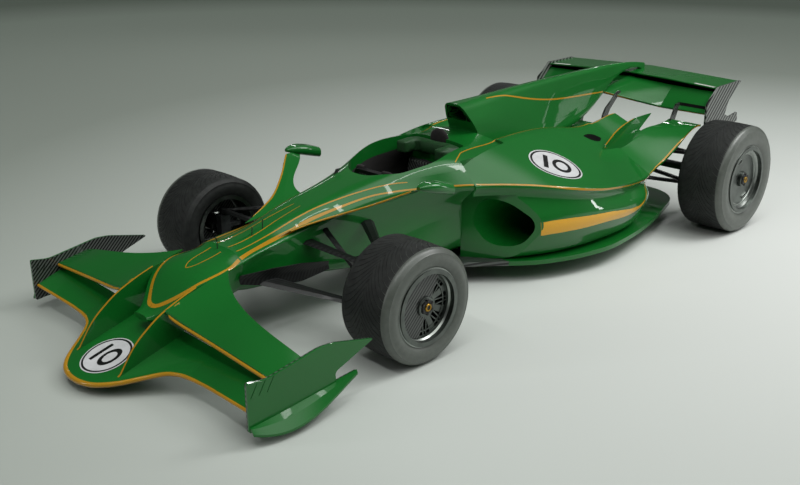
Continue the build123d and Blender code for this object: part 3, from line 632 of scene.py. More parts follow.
class RACECAR_OT_wheels(bpy.types.Operator):
    """Add lips, lattice spokes, disc slots and centre-lock nuts to the wheels"""
    bl_idname = "racecar.wheels"
    bl_label = "Dress the wheels"

    # All in mm. Lip radius and reach of the lip's edge.
    RIMS = {"front": (176, 138), "rear": (201.5, 137)}
    # Profiles are (reach outwards, radius). Rolled lip outside the bead, from the lip's edge.
    ROLL = [(-9, -11), (-1, -9), (1.5, -5), (1.5, 0), (0, 6), (-8, 8)]
    # Front barrel; rear step ring round the flat disc and bowl up to the lip. Radius from the lip.
    FLARE = {
        "front": [(114, -27), (124, -20), (133, -12)],
        "rear": [(109, -52), (114, -50), (115, -44), (112, -41), (113, -34), (123, -18), (133, -10)],
    }
    # Reach of the wheel's face, and the nut on it: satin collar, brass lock ring, black key and cap.
    FACE = 110
    NUT = [
        ("nut_collar_", "satin_rim", 48, [(8, 44), (15, 43), (17, 40), (16, 30)]),
        ("nut_ring_", "brass_collar", 32, [(14, 19), (27, 18), (29, 16), (29, 11), (24, 10)]),
    ]
    KEY = [(14, 33), (22, 32), (24, 29), (24, 20), (18, 18)]
    CAP = [(20, 11), (26, 9), (26, 0.01)]
    LOBES = 6
    LOBE_REACH = 19
    # Lattice: ribs round the wheel, radius of their roots, sideways lean by height.
    RIBS = 16
    ROOT = 58
    LEAN = 0.24
    BRAKE = [(-20, 62), (-18, 150), (-14, 150), (-12, 62)]
    # Places of the disc's slots, in degrees.
    SLOTS = (205, 25)

    def execute(self, context):
        for wheel, end, hub, outward in corners():
            body = "wheel_" + wheel
            lip, edge = self.RIMS[end]
            bm = bmesh.new()
            lathe(bm, self.ROLL, hub, outward, 96, edge, lip)
            lathe(bm, self.FLARE[end], hub, outward, 96, 0, lip)
            piece("rim_lip_" + wheel, bm, "bright_lip", body)
            for name, key, steps, profile in self.NUT:
                bm = bmesh.new()
                lathe(bm, profile, hub, outward, steps, self.FACE)
                piece(name + wheel, bm, key, body)
            bm = bmesh.new()
            lathe(bm, self.KEY, hub, outward, 48, self.FACE)
            front = hub + mm(0, outward * (self.FACE + self.LOBE_REACH), 0)
            for i in range(self.LOBES):
                verts = block(bm, mm(-6, -7, 24), mm(6, 7, 37), 2 * MM, 2)
                pose(bm, about_hub(front, 360 / self.LOBES * i), verts)
            lathe(bm, self.CAP, hub, outward, 24, self.FACE)
            piece("nut_key_" + wheel, bm, "black_coat", body)
            dress = self.lattice if end == "front" else self.slots
            dress(hub, outward, wheel, body, lip)
        return {"FINISHED"}

    def lattice(self, hub, outward, wheel, body, lip):
        """Forked ribs over the web's windows, tied by rings, and the brake disc behind them."""
        bm = bmesh.new()
        low, high = self.FACE - 10, self.FACE + 3
        lathe(bm, [(low, 112), (high, 113), (high, 119), (low, 120)], hub, outward, 72)
        lathe(bm, [(low, -42), (high, -40), (high, -27), (low, -23)], hub, outward, 72, 0, lip)
        lathe(bm, [(low, 66), (high, 64), (high, 54), (low, 50)], hub, outward, 48)
        for i in range(self.RIBS):
            verts = block(bm, mm(-3.5, low, self.ROOT), mm(3.5, high, lip - 26), 1.5 * MM, 2)
            lean = self.LEAN if i % 2 else -self.LEAN
            for vert in verts:
                vert.co.x += lean * (vert.co.z - self.ROOT * MM)
                vert.co.y *= outward
            pose(bm, about_hub(hub, 360 / self.RIBS * (i + 0.5)), verts)
        piece("rim_lattice_" + wheel, bm, "satin_rim", body)
        bm = bmesh.new()
        lathe(bm, self.BRAKE, hub, outward, 64)
        piece("brake_disc_" + wheel, bm, "carbon_twill", body)

    def slots(self, hub, outward, wheel, body, lip):
        """Two valve slots in the disc: raised rims, paler as painted light, round black blocks that paint the
        slots' shade.
        """
        bm = bmesh.new()
        for place in self.SLOTS:
            # Rim, then the black block inside it as painted shade of the slot: inset, reach from and to,
            # bevel.
            for index, (inset, low, high, bevel) in enumerate(((0, -1, 4, 4.5), (4, 1, 5, 3))):
                verts = block(bm, mm(-26 + inset, self.FACE + low, lip - 88 + inset),
                              mm(26 - inset, self.FACE + high, lip - 68 - inset), bevel * MM)
                for vert in verts:
                    vert.co.y *= outward
                pose(bm, about_hub(hub, place), verts)
                for face in {f for v in verts for f in v.link_faces}:
                    face.material_index = index
        piece("disc_slot_" + wheel, bm, ["bright_lip", "soot_black"], body)


class RACECAR_OT_stripes(bpy.types.Operator):
    """Lay the gold stripes and edge bands on the skin"""
    bl_idname = "racecar.stripes"
    bl_label = "Lay the stripes"

    # Left side only, in mm from the front axle. Columns: name, nodes, points, widths.
    BODY = ("nose_cone", "monocoque", "sidepod_left", "engine_cover", "rear_deck")
    LINES = [
        ("stripe_chine", BODY, [
            (828, 0.5, 262), (827, 13, 263), (816, 38, 268), (779, 80, 292), (740, 117, 322),
            (694, 145, 351), (610, 168, 376), (513, 160, 393), (459, 146, 410), (368, 132, 429),
            (234, 122, 451), (127, 126, 471), (28, 128, 496),
            (-151, 152, 526), (-300, 184, 550), (-406, 219, 556), (-513, 257, 556), (-650, 315, 553),
            (-794, 380, 548), (-921, 464, 542), (-1037, 558, 536), (-1160, 650, 521), (-1257, 701, 501),
            (-1384, 733, 475), (-1557, 738, 443), (-1775, 720, 412), (-1930, 702, 402), (-2040, 676, 404),
            (-2150, 658, 432), (-2279, 648, 473), (-2374, 645, 516), (-2441, 648, 547), (-2560, 650, 590),
            (-2640, 648, 606)],
            [22, 19, 13, 22, 25, 21, 15, 11, 9, 9, 9, 9, 10, 11, 12, 12, 12, 11, 10, 9, 9, 9, 9, 8]),
        ("stripe_ridge", BODY, [
            (-800, 296, 650), (-850, 272, 666), (-909, 246, 677), (-1053, 224, 682), (-1180, 238, 690),
            (-1300, 247, 706), (-1500, 246, 716), (-1700, 240, 705), (-1880, 234, 668), (-2060, 228, 650),
            (-2180, 232, 655), (-2320, 236, 660)],
            [6, 8, 8, 8, 7]),
        ("stripe_spine", ("engine_cover",), [
            (-1330, 48, 884), (-1467, 46, 866), (-1561, 51, 847), (-1664, 54, 823), (-1791, 54, 798),
            (-1923, 53, 779), (-2041, 51, 769), (-2162, 49, 762), (-2285, 48, 757), (-2414, 45, 750),
            (-2470, 42, 748)],
            [7, 9, 9, 9, 8]),
        ("stripe_nose_upper", ("nose_cone", "monocoque"), [
            (450, 96, 428), (325, 88, 452), (203, 86, 474), (100, 88, 498), (-20, 96, 525), (-130, 112, 548),
            (-240, 134, 567), (-350, 165, 582), (-450, 200, 588), (-520, 228, 584)],
            [4, 7, 8, 8, 7, 5]),
        ("stripe_tongue", ("nose_cone", "monocoque"), [
            (642, 1, 385), (622, 20, 388), (583, 34, 397), (493, 40, 418), (362, 40, 447), (235, 36, 473),
            (120, 30, 497), (0, 24, 524)],
            [5, 6, 6, 5, 3]),
        ("stripe_deck_link", BODY, [
            (-1900, 737, 280), (-1945, 726, 292), (-1985, 708, 315), (-2020, 692, 348), (-2045, 680, 388)],
            [16, 10, 9, 8]),
        ("band_fence", ("front_wing_main_plane",), [
            (1106, 176, 72), (1086, 176, 110), (1020, 176, 197), (900, 176, 285), (788, 176, 333),
            (705, 176, 360)],
            [9, 11, 11, 9]),
        ("band_fin", ("rear_deck",), [
            (-1905, 448, 545), (-1975, 448, 598), (-2042, 448, 640), (-2130, 448, 668), (-2206, 448, 680)],
            [6, 8, 8, 5]),
        ("band_rear_wing", ("rear_wing_main_plane",), [
            (-2500, 30, 738), (-2570, 120, 709), (-2700, 329, 656), (-2700, 470, 657), (-2700, 640, 657)],
            [8, 9, 9, 8]),
    ]
    # Wide flank stripe behind the duct mouth, narrowing almost to a point at the rear.
    FLANK = [
        (-1098, 640, 300), (-1155, 668, 304), (-1270, 706, 302), (-1408, 731, 295), (-1570, 744, 286),
        (-1757, 746, 268), (-1860, 742, 270), (-1925, 733, 284)]
    FLANK_WIDTH = [78, 80, 76, 68, 60, 52, 36, 9]
    # Rolled beads on leading edges. Columns: name, points, radii.
    BEADS = [
        ("bead_lip", [
            (1221, 0, 48), (1217, 45, 48), (1198, 108, 50), (1160, 165, 57), (1108, 215, 67), (1042, 268, 83),
            (983, 322, 99), (953, 370, 105), (937, 430, 108), (929, 560, 112), (947, 872, 131)],
            [12, 11, 10, 9, 8, 7.5, 7.5]),
        ("bead_flap", [
            (800, 190, 319), (838, 192, 304), (862, 206, 288), (866, 235, 280), (861, 300, 269),
            (849, 478, 249), (832, 868, 209)],
            [6, 7.5, 7.5]),
        ("bead_stalk", [
            (160, 147, 475), (62, 184, 500), (-42, 240, 526), (-176, 348, 574), (-306, 470, 637)],
            [3, 5, 4.5, 4]),
    ]

    def execute(self, context):
        look = context.scene.car_look
        for name, nodes, points, widths in self.LINES:
            band(name, nodes, points, widths, look.stripe_lift, "gold_lacquer")
        for name, points, radii in self.BEADS:
            bm = bmesh.new()
            tube(bm, [car(*p) for p in points], radii, 14, 16)
            mirrored(bm)
            piece(name, bm, "gold_lacquer")
        band("stripe_flank", ["sidepod_left"], self.FLANK, self.FLANK_WIDTH, look.stripe_lift,
             "flank_gold", across=8)
        return {"FINISHED"}


class RACECAR_OT_roundels(bpy.types.Operator):
    """Lay white number discs on the pods and the front wing"""
    bl_idname = "racecar.roundels"
    bl_label = "Lay the number discs"

    # Columns: name, node, centre, across, up, half width and half height in mm.
    DISCS = [
        ("roundel_pod_left", "sidepod_left",
         (-1340, 534, 583), (-0.715, 0.62, -0.32), (-0.62, -0.717, 0.325), 156, 118),
        ("roundel_pod_right", "sidepod_right",
         (-1340, -534, 583), (0.715, 0.62, 0.32), (-0.62, 0.717, 0.325), 156, 118),
        ("roundel_wing", "front_wing_main_plane",
         (1060, 0, 100), (0.0, 1.0, 0.0), (-0.96, 0.0, 0.28), 118, 118),
    ]
    # All as shares of the half width. Rings of the mesh; a black band lies between two of them.
    RINGS = (0.0, 0.3, 0.6, 0.8, 0.87, 0.95, 1.0)
    BAND = (0.87, 0.95)
    # Figures. Bar: half width, half height, place across. Oval ring: rings, narrowing, place across.
    BAR = (0.085, 0.5, -0.38)
    OVAL = (0.31, 0.4, 0.5)
    OVAL_NARROW, OVAL_AT = 0.72, 0.22
    # The figures lie over the disc, at so many times its lift.
    FIGURE_LIFT = 2.2

    def rings(self, bm, shares, radius, steps):
        """A flat disc or ring about the origin."""
        verts = [bm.verts.new((share * radius, 0, 0)) for share in shares]
        revolve(bm, verts, (0, 0, 0), (0, 0, 1), steps)

    def execute(self, context):
        look = context.scene.car_look
        for name, node, centre, across, up, wide, tall in self.DISCS:
            tree = skin(node)
            centre = car(*centre)
            across = Vector(across).normalized()
            up = (Vector(up) - across * across.dot(up)).normalized()
            r = wide * MM
            squash = Matrix.Diagonal((1, tall / wide, 1, 1))
            bm = bmesh.new()
            self.rings(bm, self.RINGS, r, 72)
            weld(bm, 0.1)
            for face in bm.faces:
                reach = face.calc_center_median().length / r
                face.material_index = 1 if self.BAND[0] < reach < self.BAND[1] else 0
            pose(bm, squash)
            drop(bm.verts, tree, centre, across, up, look.stripe_lift)
            piece(name, bm, ["white_vinyl", "black_vinyl"])
            # Figures: a plain bar and a plain oval ring.
            bm = bmesh.new()
            bar = bmesh.ops.create_grid(bm, x_segments=2, y_segments=10, size=1)["verts"]
            half, high, shift = self.BAR
            for vert in bar:
                vert.co = Vector((vert.co.x * half + shift, vert.co.y * high, 0)) * r
            self.rings(bm, self.OVAL, r, 40)
            for vert in set(bm.verts) - set(bar):
                vert.co.x = vert.co.x * self.OVAL_NARROW + self.OVAL_AT * r
            pose(bm, squash)
            drop(bm.verts, tree, centre, across, up, look.stripe_lift * self.FIGURE_LIFT)
            piece(name + "_figure", bm, "black_vinyl")
        return {"FINISHED"}


class RACECAR_OT_cockpit(bpy.types.Operator):
    """Make the head pads, lining, hand wheel and belts of the cockpit"""
    bl_idname = "racecar.cockpit"
    bl_label = "Fit the cockpit"

    # Head pad: squeeze of the plain solid, spacing of the mesh, then pressure, frames and most move.
    SQUEEZE = (0.95, 0.96, 0.86)
    VOXEL = 6 * MM
    PRESSURE = 4.0
    FRAMES = 20
    MOST_MOVE = 9 * MM
    # Lining: rear and front end, half width and foot, a point and the normal of its upper edge in mm.
    LINING_X = (-1015, -330)
    LINING_HALF, LINING_FOOT = 270, 300
    SILL, SILL_NORMAL = (-400, 0, 545), (0.14, 0, 1)
    # Faces count as inner walls from this share of facing inwards.
    FACING = 0.35
    # Hand wheel: place, lean, then in its own axes the line of the left grip and the places of the keys.
    WHEEL_AT, WHEEL_LEAN = (-524, 0, 545), 0.25
    GRIP = [(4, 70, 62), (0, 118, 58), (-6, 138, 20), (-4, 136, -25), (0, 112, -58), (4, 74, -62)]
    KEYS = [(-62, 30), (-62, 4), (-62, -24), (62, 30), (62, 4), (62, -24), (-30, -28), (0, -28), (30, -28)]
    BELT = [(-960, 70, 556), (-930, 68, 500), (-905, 60, 400), (-880, 46, 320), (-850, 18, 262)]
    BUCKLE_AT, BUCKLE_LEAN = (-838, 0, 270), 35
    BOLSTER_AT, BOLSTER_RADII = (-996, 0, 686), (24, 66, 60)

    def pad(self):
        """Padded collar round the helmet, swollen from the plain solid's shape."""
        bm = bmesh.new()
        bm.from_mesh(frame["nodes"]["headrest"].data)
        weld(bm, 0.2)
        at = middle("headrest")
        for vert in bm.verts:
            vert.co = at + (vert.co - at) * Vector(self.SQUEEZE)
        obj = piece("head_pad", bm, "green_hide", stands_for=["headrest"])
        remesh = obj.modifiers.new("even", "REMESH")
        remesh.mode = "VOXEL"
        remesh.voxel_size = self.VOXEL
        self.apply(obj)
        rest = [v.co.copy() for v in obj.data.vertices]
        cloth = obj.modifiers.new("swell", "CLOTH")
        cloth.settings.use_pressure = True
        cloth.settings.uniform_pressure_force = self.PRESSURE
        cloth.settings.effector_weights.gravity = 0.0
        cloth.point_cache.frame_start, cloth.point_cache.frame_end = 1, self.FRAMES
        scene = bpy.context.scene
        for step in range(1, self.FRAMES + 1):
            scene.frame_set(step)
        self.apply(obj)
        scene.frame_set(1)
        for vert, start in zip(obj.data.vertices, rest):
            move = vert.co - start
            if move.length > self.MOST_MOVE:
                vert.co = start + move.normalized() * self.MOST_MOVE
        obj.data.materials.clear()
        obj.data.materials.append(FINISH["green_hide"])
        obj.data.shade_smooth()
        soft = obj.modifiers.new("soft", "SUBSURF")
        soft.levels = soft.render_levels = 1

    def apply(self, obj):
        """Make a piece's modifiers permanent."""
        graph = bpy.context.evaluated_depsgraph_get()
        made = bpy.data.meshes.new_from_object(obj.evaluated_get(graph))
        obj.modifiers.clear()
        obj.data = made

    def lining(self):
        """Black suede on the inner walls of the cockpit."""
        bm = bmesh.new()
        bm.from_mesh(frame["nodes"]["monocoque"].data)
        weld(bm, 0.2)
        back, front = (car(x, 0, 0).x for x in self.LINING_X)
        # The lining stops some 50 mm under the sill, which rises to the rear.
        sill, rise = car(*self.SILL), Vector(self.SILL_NORMAL)
        bmesh.ops.bisect_plane(bm, geom=everything(bm), plane_co=sill, plane_no=rise)
        outside = []
        for face in bm.faces:
            spot = face.calc_center_median()
            inward = Vector((0, -spot.y, 0)).normalized()
            within = back < spot.x < front and abs(spot.y) < self.LINING_HALF * MM
            between = spot.z > self.LINING_FOOT * MM and (spot - sill).dot(rise) < 0
            if not (within and between) or face.normal.dot(inward) < self.FACING:
                outside.append(face)
        bmesh.ops.delete(bm, geom=outside, context="FACES")
        bm.normal_update()
        for vert in bm.verts:
            vert.co += vert.normal * MM
        piece("cockpit_lining", bm, "black_suede")

    def hand_wheel(self):
        """Grips, face plate, keys and shift paddles on the hand wheel."""
        at = Matrix.Translation(car(*self.WHEEL_AT)) @ Matrix.Rotation(math.atan(self.WHEEL_LEAN), 4, "Y")
        bm = bmesh.new()
        for side in (-1, 1):
            tube(bm, [at @ mm(x, side * y, z) for x, y, z in self.GRIP], [13, 15, 15, 13], 12, 10)
        piece("hand_grips", bm, "black_suede")
        bm = bmesh.new()
        block(bm, mm(-14, -82, -44), mm(-2, 82, 48), 5 * MM)
        for y in (-60, 60):
            block(bm, mm(26, y - 30, 6), mm(30, y + 30, 44), 1.5 * MM)
        pose(bm, at)
        piece("hand_plate", bm, "carbon_twill")
        bm = bmesh.new()
        for y, z in self.KEYS:
            cone = bmesh.ops.create_cone(
                bm, cap_ends=True, segments=16, radius1=7 * MM, radius2=6 * MM, depth=8 * MM)["verts"]
            turn = Matrix.Translation(mm(-17, y, z)) @ Matrix.Rotation(math.radians(-90), 4, "Y")
            pose(bm, turn, cone)
        block(bm, mm(-17, -40, -4), mm(-13, 40, 40), 2 * MM)
        pose(bm, at)
        piece("hand_keys", bm, "black_vinyl")

    def belts(self):
        """Shoulder belts down the seat back to a round buckle."""
        bm = bmesh.new()
        stripe(bm, skin("seat"), self.BELT, [46, 46, 46, 40], 4 * MM, across=6, step=14)
        mirrored(bm)
        bmesh.ops.recalc_face_normals(bm, faces=bm.faces[:])
        bmesh.ops.solidify(bm, geom=bm.faces[:], thickness=2.5 * MM)
        piece("belts", bm, "belt_web")
        bm = bmesh.new()
        bmesh.ops.create_cone(
            bm, cap_ends=True, segments=32, radius1=34 * MM, radius2=28 * MM, depth=16 * MM)
        bmesh.ops.bevel(
            bm, geom=bm.edges[:], offset=3 * MM, affect="EDGES", segments=2, profile=0.5, material=-1)
        lean = Matrix.Rotation(math.radians(self.BUCKLE_LEAN), 4, "Y")
        pose(bm, Matrix.Translation(car(*self.BUCKLE_AT)) @ lean)
        piece("belt_buckle", bm, "turned_steel")

    def bolster(self):
        """Round suede bolster on the bulkhead, behind the helmet."""
        bm = bmesh.new()
        ball = bmesh.ops.create_uvsphere(bm, u_segments=40, v_segments=20, radius=1.0)["verts"]
        for vert in ball:
            vert.co = car(*self.BOLSTER_AT) + vert.co * Vector(self.BOLSTER_RADII) * MM
        obj = piece("head_bolster", bm, "black_suede")

    def execute(self, context):
        self.pad()
        self.lining()
        self.hand_wheel()
        self.belts()
        self.bolster()
        return {"FINISHED"}


class RACECAR_OT_fittings(bpy.types.Operator):
    """Add mirror glass, aerials, outlets in painted shade, vanes and wing strips"""
    bl_idname = "racecar.fittings"
    bl_label = "Add the fittings"

    # Mirror's rear face: middle and half sizes in mm, squareness of the outline (1 is an ellipse).
    MIRROR_AT, MIRROR_HALF, MIRROR_SQUARE = (-530, 496, 613), (46, 26), 0.6
    # Columns: name, share of the size, reach backwards, finish.
    MIRROR = [("mirror_frame", 1.0, 2.0, "black_coat"), ("mirror_pane", 0.88, 3.2, "mirror_glass")]
    # Aerial pins: foot and height. Bent air-speed tube. Blade: lower and upper corner, lean by height.
    PINS = [(235, 29, 476, 46), (300, 34, 462, 40)]
    AIR_TUBE = [(470, 0, 424), (470, 0, 462), (474, 0, 482), (490, 0, 487), (525, 0, 487)]
    BLADE, BLADE_LEAN = ((-346, -112, 582), (-318, -108, 624)), 0.6
    OUTLET = [(-1872, 335, 620), (-1915, 345, 606), (-1965, 352, 592), (-2010, 356, 580)]
    OUTLET_NODES = ("sidepod_left", "engine_cover", "rear_deck")
    # Turning vane: line, then sideways curl by height and its shift.
    VANE = [(470, 170, 322), (330, 190, 304), (160, 200, 284), (-28, 196, 268)]
    VANE_CURL, VANE_SHIFT = 0.25, 8 * MM
    # Airbox mouth: plane ahead of it, half widths and heights at foot and top, depth where nothing is hit.
    MOUTH_X, MOUTH_HALF, MOUTH_Z, MOUTH_DEPTH = -900, (88, 48), (768, 854), 200 * MM
    SEAL = [(-2828, 0, 812), (-2828, 290, 801), (-2828, 640, 791)]
    # Strips along the rear wing: a painted highlight on the flap, and painted shade in the slot of the main
    # plane. Columns: name, node, finish, points, width.
    WING_STRIPS = [
        ("wing_painted_highlight", "rear_wing_flap", "pale_strip",
         [(-2830, 480, 830), (-2830, 560, 827), (-2830, 620, 824)], 22),
        ("wing_slot_shade", "rear_wing_main_plane", "soot_black",
         [(-2716, 430, 705), (-2716, 520, 705), (-2718, 630, 702)], 24),
    ]

    def mirrors(self):
        """Mirror glass in the rear face of each housing, set in a black frame."""
        for name, grow, reach, key in self.MIRROR:
            bm = bmesh.new()
            disc = bmesh.ops.create_circle(bm, cap_ends=True, segments=48, radius=1.0)["verts"]
            for vert in disc:
                y, z = (math.copysign(abs(c) ** self.MIRROR_SQUARE, c) * half * grow
                        for c, half in zip(vert.co, self.MIRROR_HALF))
                vert.co = car(*self.MIRROR_AT) + mm(-reach, y, z)
            made = bmesh.ops.extrude_face_region(bm, geom=bm.faces[:])
            bmesh.ops.translate(bm, vec=(4 * MM, 0, 0), verts=new_verts(made))
            mirrored(bm)
            piece(name, bm, key)

    def aerials(self):
        """Two pins, a bent air-speed tube and a blade."""
        bm = bmesh.new()
        for x, y, z, height in self.PINS:
            pin = [car(x, y, z - 4), car(x - 2, y, z + height / 2), car(x - 4, y, z + height)]
            tube(bm, pin, [2.2, 2.2], 8)
        tube(bm, [car(*p) for p in self.AIR_TUBE], [2.4, 2.4], 8, 6)
        piece("aerials", bm, "black_coat")
        bm = bmesh.new()
        low, high = (car(*p) for p in self.BLADE)
        for vert in block(bm, low, high, 1.4 * MM):
            vert.co.x -= (vert.co.z - low.z) * self.BLADE_LEAN
        piece("aerial_blade", bm, "black_coat")

    def vanes(self):
        """Turning vanes under the nose, ahead of the lower arms."""
        bm = bmesh.new()
        line = smooth_line([car(*p) for p in self.VANE], 20 * MM)
        for vert, row, up in strip(bm, line, [40, 84, 88, 40], 6):
            vert.co = line[row] + Vector((0, abs(up) * self.VANE_CURL - self.VANE_SHIFT, up))
        bmesh.ops.recalc_face_normals(bm, faces=bm.faces[:])
        bmesh.ops.solidify(bm, geom=bm.faces[:], thickness=5 * MM)
        mirrored(bm)
        # The vanes take the arms' darker twill, as painted shade under the nose.
        piece("turning_vanes", bm, "arm_twill")

    def airbox(self, lift):
        """Mouth of the airbox, lined with flat black as painted shade, inside a thin painted rim."""
        tree = skin("engine_cover")
        back = Vector((-1, 0, 0))
        bm = bmesh.new()
        mouth = bmesh.ops.create_grid(bm, x_segments=24, y_segments=20, size=1)["verts"]
        for vert in mouth:
            share = (vert.co.y + 1) / 2
            half, height = spread(self.MOUTH_HALF, share), spread(self.MOUTH_Z, share)
            spot = car(self.MOUTH_X, vert.co.x * half, height)
            place = tree.ray_cast(spot, back)[0]
            vert.co = (place if place else spot + back * self.MOUTH_DEPTH) - back * lift
        piece("airbox_mouth", bm, "soot_black")

    def seal(self):
        """Painted seal in the slot between the rear wing's planes."""
        bm = bmesh.new()
        line = smooth_line([car(*p) for p in self.SEAL], 40 * MM)
        for vert, row, up in strip(bm, line, [32, 32], 2):
            vert.co = line[row] + Vector((0, 0, up))
        bmesh.ops.solidify(bm, geom=bm.faces[:], thickness=2 * MM)
        mirrored(bm)
        piece("wing_slot_seal", bm, "green_lacquer")

    def execute(self, context):
        lift = context.scene.car_look.stripe_lift
        self.mirrors()
        self.aerials()
        # Outlet of the exhaust in the pod's top, ahead of the fin: a flat black patch that paints the shade
        # of its opening.
        band("exhaust_outlet", self.OUTLET_NODES, self.OUTLET, [4, 52, 74, 70, 12], lift,
             "soot_black", across=8)
        self.vanes()
        self.airbox(lift)
        self.seal()
        for name, node, key, points, width in self.WING_STRIPS:
            band(name, [node], points, [width, width], lift, key)
        return {"FINISHED"}


class RACECAR_OT_stage(bpy.types.Operator):
    """Set the floor, the lamps and the camera"""
    bl_idname = "racecar.stage"
    bl_label = "Set the stage"

    # Camera fitted to the photo: place in mm from the front axle, angles in degrees, focal length in pixels.
    CAMERA_AT = (2798.1, 3557.0, 1977.0)
    YAW = -134.478
    PITCH = -19.993
    FOCAL_PIXELS = 977.34
    IMAGE_WIDTH = 800
    SENSOR = 36.0
    # Half the floor's side in metres.
    FLOOR_HALF = 40
    # Middle of the pool of light in mm; the pool is longer across the car than along it.
    POOL = (-3000, 4000, 0)
    POOL_SPREAD = (1.0, 1.43, 1.0)
    # Floor tone by distance from the pool's middle: metres, sRGB.
    TONES = [(1.5, "#d4d6d3"), (4.0, "#c3c8c3"), (6.2, "#969d95"), (10.9, "#8c958c"), (12.6, "#6a736a")]
    # Where the middle of the lit ceiling hangs, seen from the car: above and somewhat to the left.
    CEILING = (-0.1, 0.36, 0.93)
    # Out of a dim room, the light rises between these cosines of the angle from the ceiling's middle.
    CEILING_EDGE, DIM = (0.73, 0.91), 0.05
    # Strips for the streaks and one soft box (the second): place in metres, aim, run, power, width, length.
    LAMPS = [
        ((-0.6, 1.5, 4.4), (-0.6, 0.2, 0.4), (1, 0, 0), 40, 0.25, 6.0),
        ((-3.0, 2.8, 4.4), (-1.6, 0.4, 0.3), (1, 0, 0), 120, 1.6, 2.4),
        ((-6.0, -6.0, 3.4), (-0.4, 0.0, 0.5), (0.71, -0.7, 0), 34, 0.07, 8.0),
        ((-5.0, 4.6, 1.9), (-0.6, 0.5, 0.4), (0, 0, 1), 34, 0.3, 2.6),
        ((5.5, -2.0, 2.6), (1.2, 0.0, 0.3), (0, 0, 1), 30, 0.3, 2.6),
        ((3.4, 0.6, 4.2), (1.2, 0.0, 0.3), (0, 1, 0), 36, 0.2, 4.0),
    ]

    def execute(self, context):
        scene = context.scene
        self.ground(scene)
        self.ceiling(scene, scene.studio_look.world)
        self.lamps(scene, scene.studio_look.lamp)
        self.camera(scene)
        scene.view_settings.view_transform = "Standard"
        return {"FINISHED"}

    def ground(self, scene):
        """Studio floor, matt, with a painted pool of light: palest under the lamps, falling to grey away from
        them.
        """
        bm = bmesh.new()
        bmesh.ops.create_grid(bm, x_segments=4, y_segments=4, size=self.FLOOR_HALF)
        mesh = bpy.data.meshes.new("floor_sheet")
        bm.to_mesh(mesh)
        bm.free()
        ground = bpy.data.objects.new("floor_sheet", mesh)
        scene.collection.objects.link(ground)
        tree, shader, place = finish("studio_floor", Roughness=0.7, Specular_IOR_Level=0.2)
        span = self.TONES[-1][0]
        move = add(tree, "Mapping", [("Vector", place)], vector_type="TEXTURE",
                   Location=car(*self.POOL), Scale=[span * c for c in self.POOL_SPREAD])
        ball = add(tree, "TexGradient", [("Vector", move.outputs["Vector"])],
                   gradient_type="SPHERICAL")
        stops = [(1 - far / span, tone) for far, tone in reversed(self.TONES)]
        tree.links.new(ramp(tree, ball.outputs["Fac"], stops), shader.inputs["Base Color"])
        mesh.materials.append(FINISH["studio_floor"])

    def ceiling(self, scene, strength):
        """Soft light from overhead that falls to dark near the horizon, as in a studio with a lit ceiling."""
        world = bpy.data.worlds.new("studio")
        scene.world = world
        world.use_nodes = True
        tree = world.node_tree
        fill = tree.nodes["Background"]
        fill.inputs["Color"].default_value = linear("#fbfffb")
        ray = add(tree, "TexCoord").outputs["Generated"]
        height = add(tree, "VectorMath", [(0, ray)],
                     operation="DOT_PRODUCT", in_1=Vector(self.CEILING).normalized())
        low, high = self.CEILING_EDGE
        level = add(tree, "MapRange", [("Value", height.outputs["Value"])],
                    interpolation_type="SMOOTHSTEP", in_1=low, in_2=high, in_3=self.DIM, in_4=strength)
        tree.links.new(level.outputs["Result"], fill.inputs["Strength"])

    def lamps(self, scene, strength):
        """Area lamps, each turned so that its length follows its run."""
        for i, (at, aim, run, power, width, length) in enumerate(self.LAMPS):
            lamp = bpy.data.lights.new(f"softbox_{i}", "AREA")
            lamp.shape = "RECTANGLE"
            lamp.energy = power * strength
            lamp.size, lamp.size_y = width, length
            holder = bpy.data.objects.new(lamp.name, lamp)
            holder.location = at
            back = (Vector(at) - Vector(aim)).normalized()
            cross = Vector(run).cross(back).normalized()
            holder.rotation_euler = Matrix((cross, back.cross(cross), back)).transposed().to_euler()
            scene.collection.objects.link(holder)

    def camera(self, scene):
        """The photo's view."""
        camera = bpy.data.cameras.new("photo_view")
        camera.sensor_width = self.SENSOR
        camera.lens = self.SENSOR * self.FOCAL_PIXELS / self.IMAGE_WIDTH
        view = bpy.data.objects.new("photo_view", camera)
        view.location = car(*self.CAMERA_AT)
        yaw, pitch = math.radians(self.YAW), math.radians(self.PITCH)
        ahead = Vector((math.cos(yaw) * math.cos(pitch), math.sin(yaw) * math.cos(pitch), math.sin(pitch)))
        view.rotation_euler = ahead.to_track_quat("-Z", "Y").to_euler()
        scene.collection.objects.link(view)
        scene.camera = view


STEPS = (RACECAR_OT_panels, RACECAR_OT_tyres, RACECAR_OT_wheels, RACECAR_OT_stripes, RACECAR_OT_roundels,
         RACECAR_OT_cockpit, RACECAR_OT_fittings, RACECAR_OT_stage)


class RACECAR_PT_side(bpy.types.Panel):
    """Lists the steps and their sizes"""
    bl_label = "Race car"
    bl_idname = "RACECAR_PT_side"
    bl_space_type = "VIEW_3D"
    bl_region_type = "UI"
    bl_category = "Race car"

    def draw(self, context):
        for look in (context.scene.car_look, context.scene.studio_look):
            for key in look.__annotations__:
                self.layout.prop(look, key)
        for step in STEPS:
            self.layout.operator(step.bl_idname)


CLASSES = (CarLook, StudioLook, *STEPS, RACECAR_PT_side)


def register():
    for item in CLASSES:
        bpy.utils.register_class(item)
    bpy.types.Scene.car_look = bpy.props.PointerProperty(type=CarLook)
    bpy.types.Scene.studio_look = bpy.props.PointerProperty(type=StudioLook)


def unregister():
    del bpy.types.Scene.studio_look
    del bpy.types.Scene.car_look
    for item in reversed(CLASSES):
        bpy.utils.unregister_class(item)


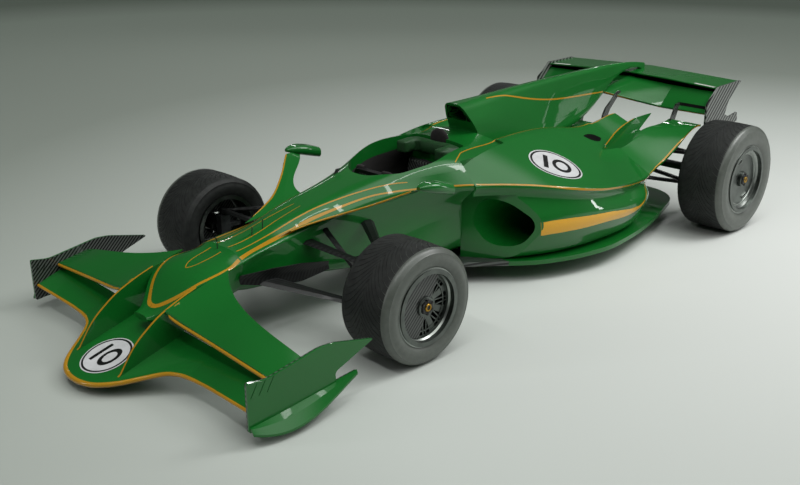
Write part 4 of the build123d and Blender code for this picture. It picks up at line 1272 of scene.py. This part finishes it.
def main():
    register()
    bpy.ops.racecar.panels()
    bpy.ops.racecar.tyres()
    bpy.ops.racecar.wheels()
    bpy.ops.racecar.stripes()
    bpy.ops.racecar.roundels()
    bpy.ops.racecar.cockpit()
    bpy.ops.racecar.fittings()
    bpy.ops.racecar.stage()


if __name__ == "__main__":
    main()
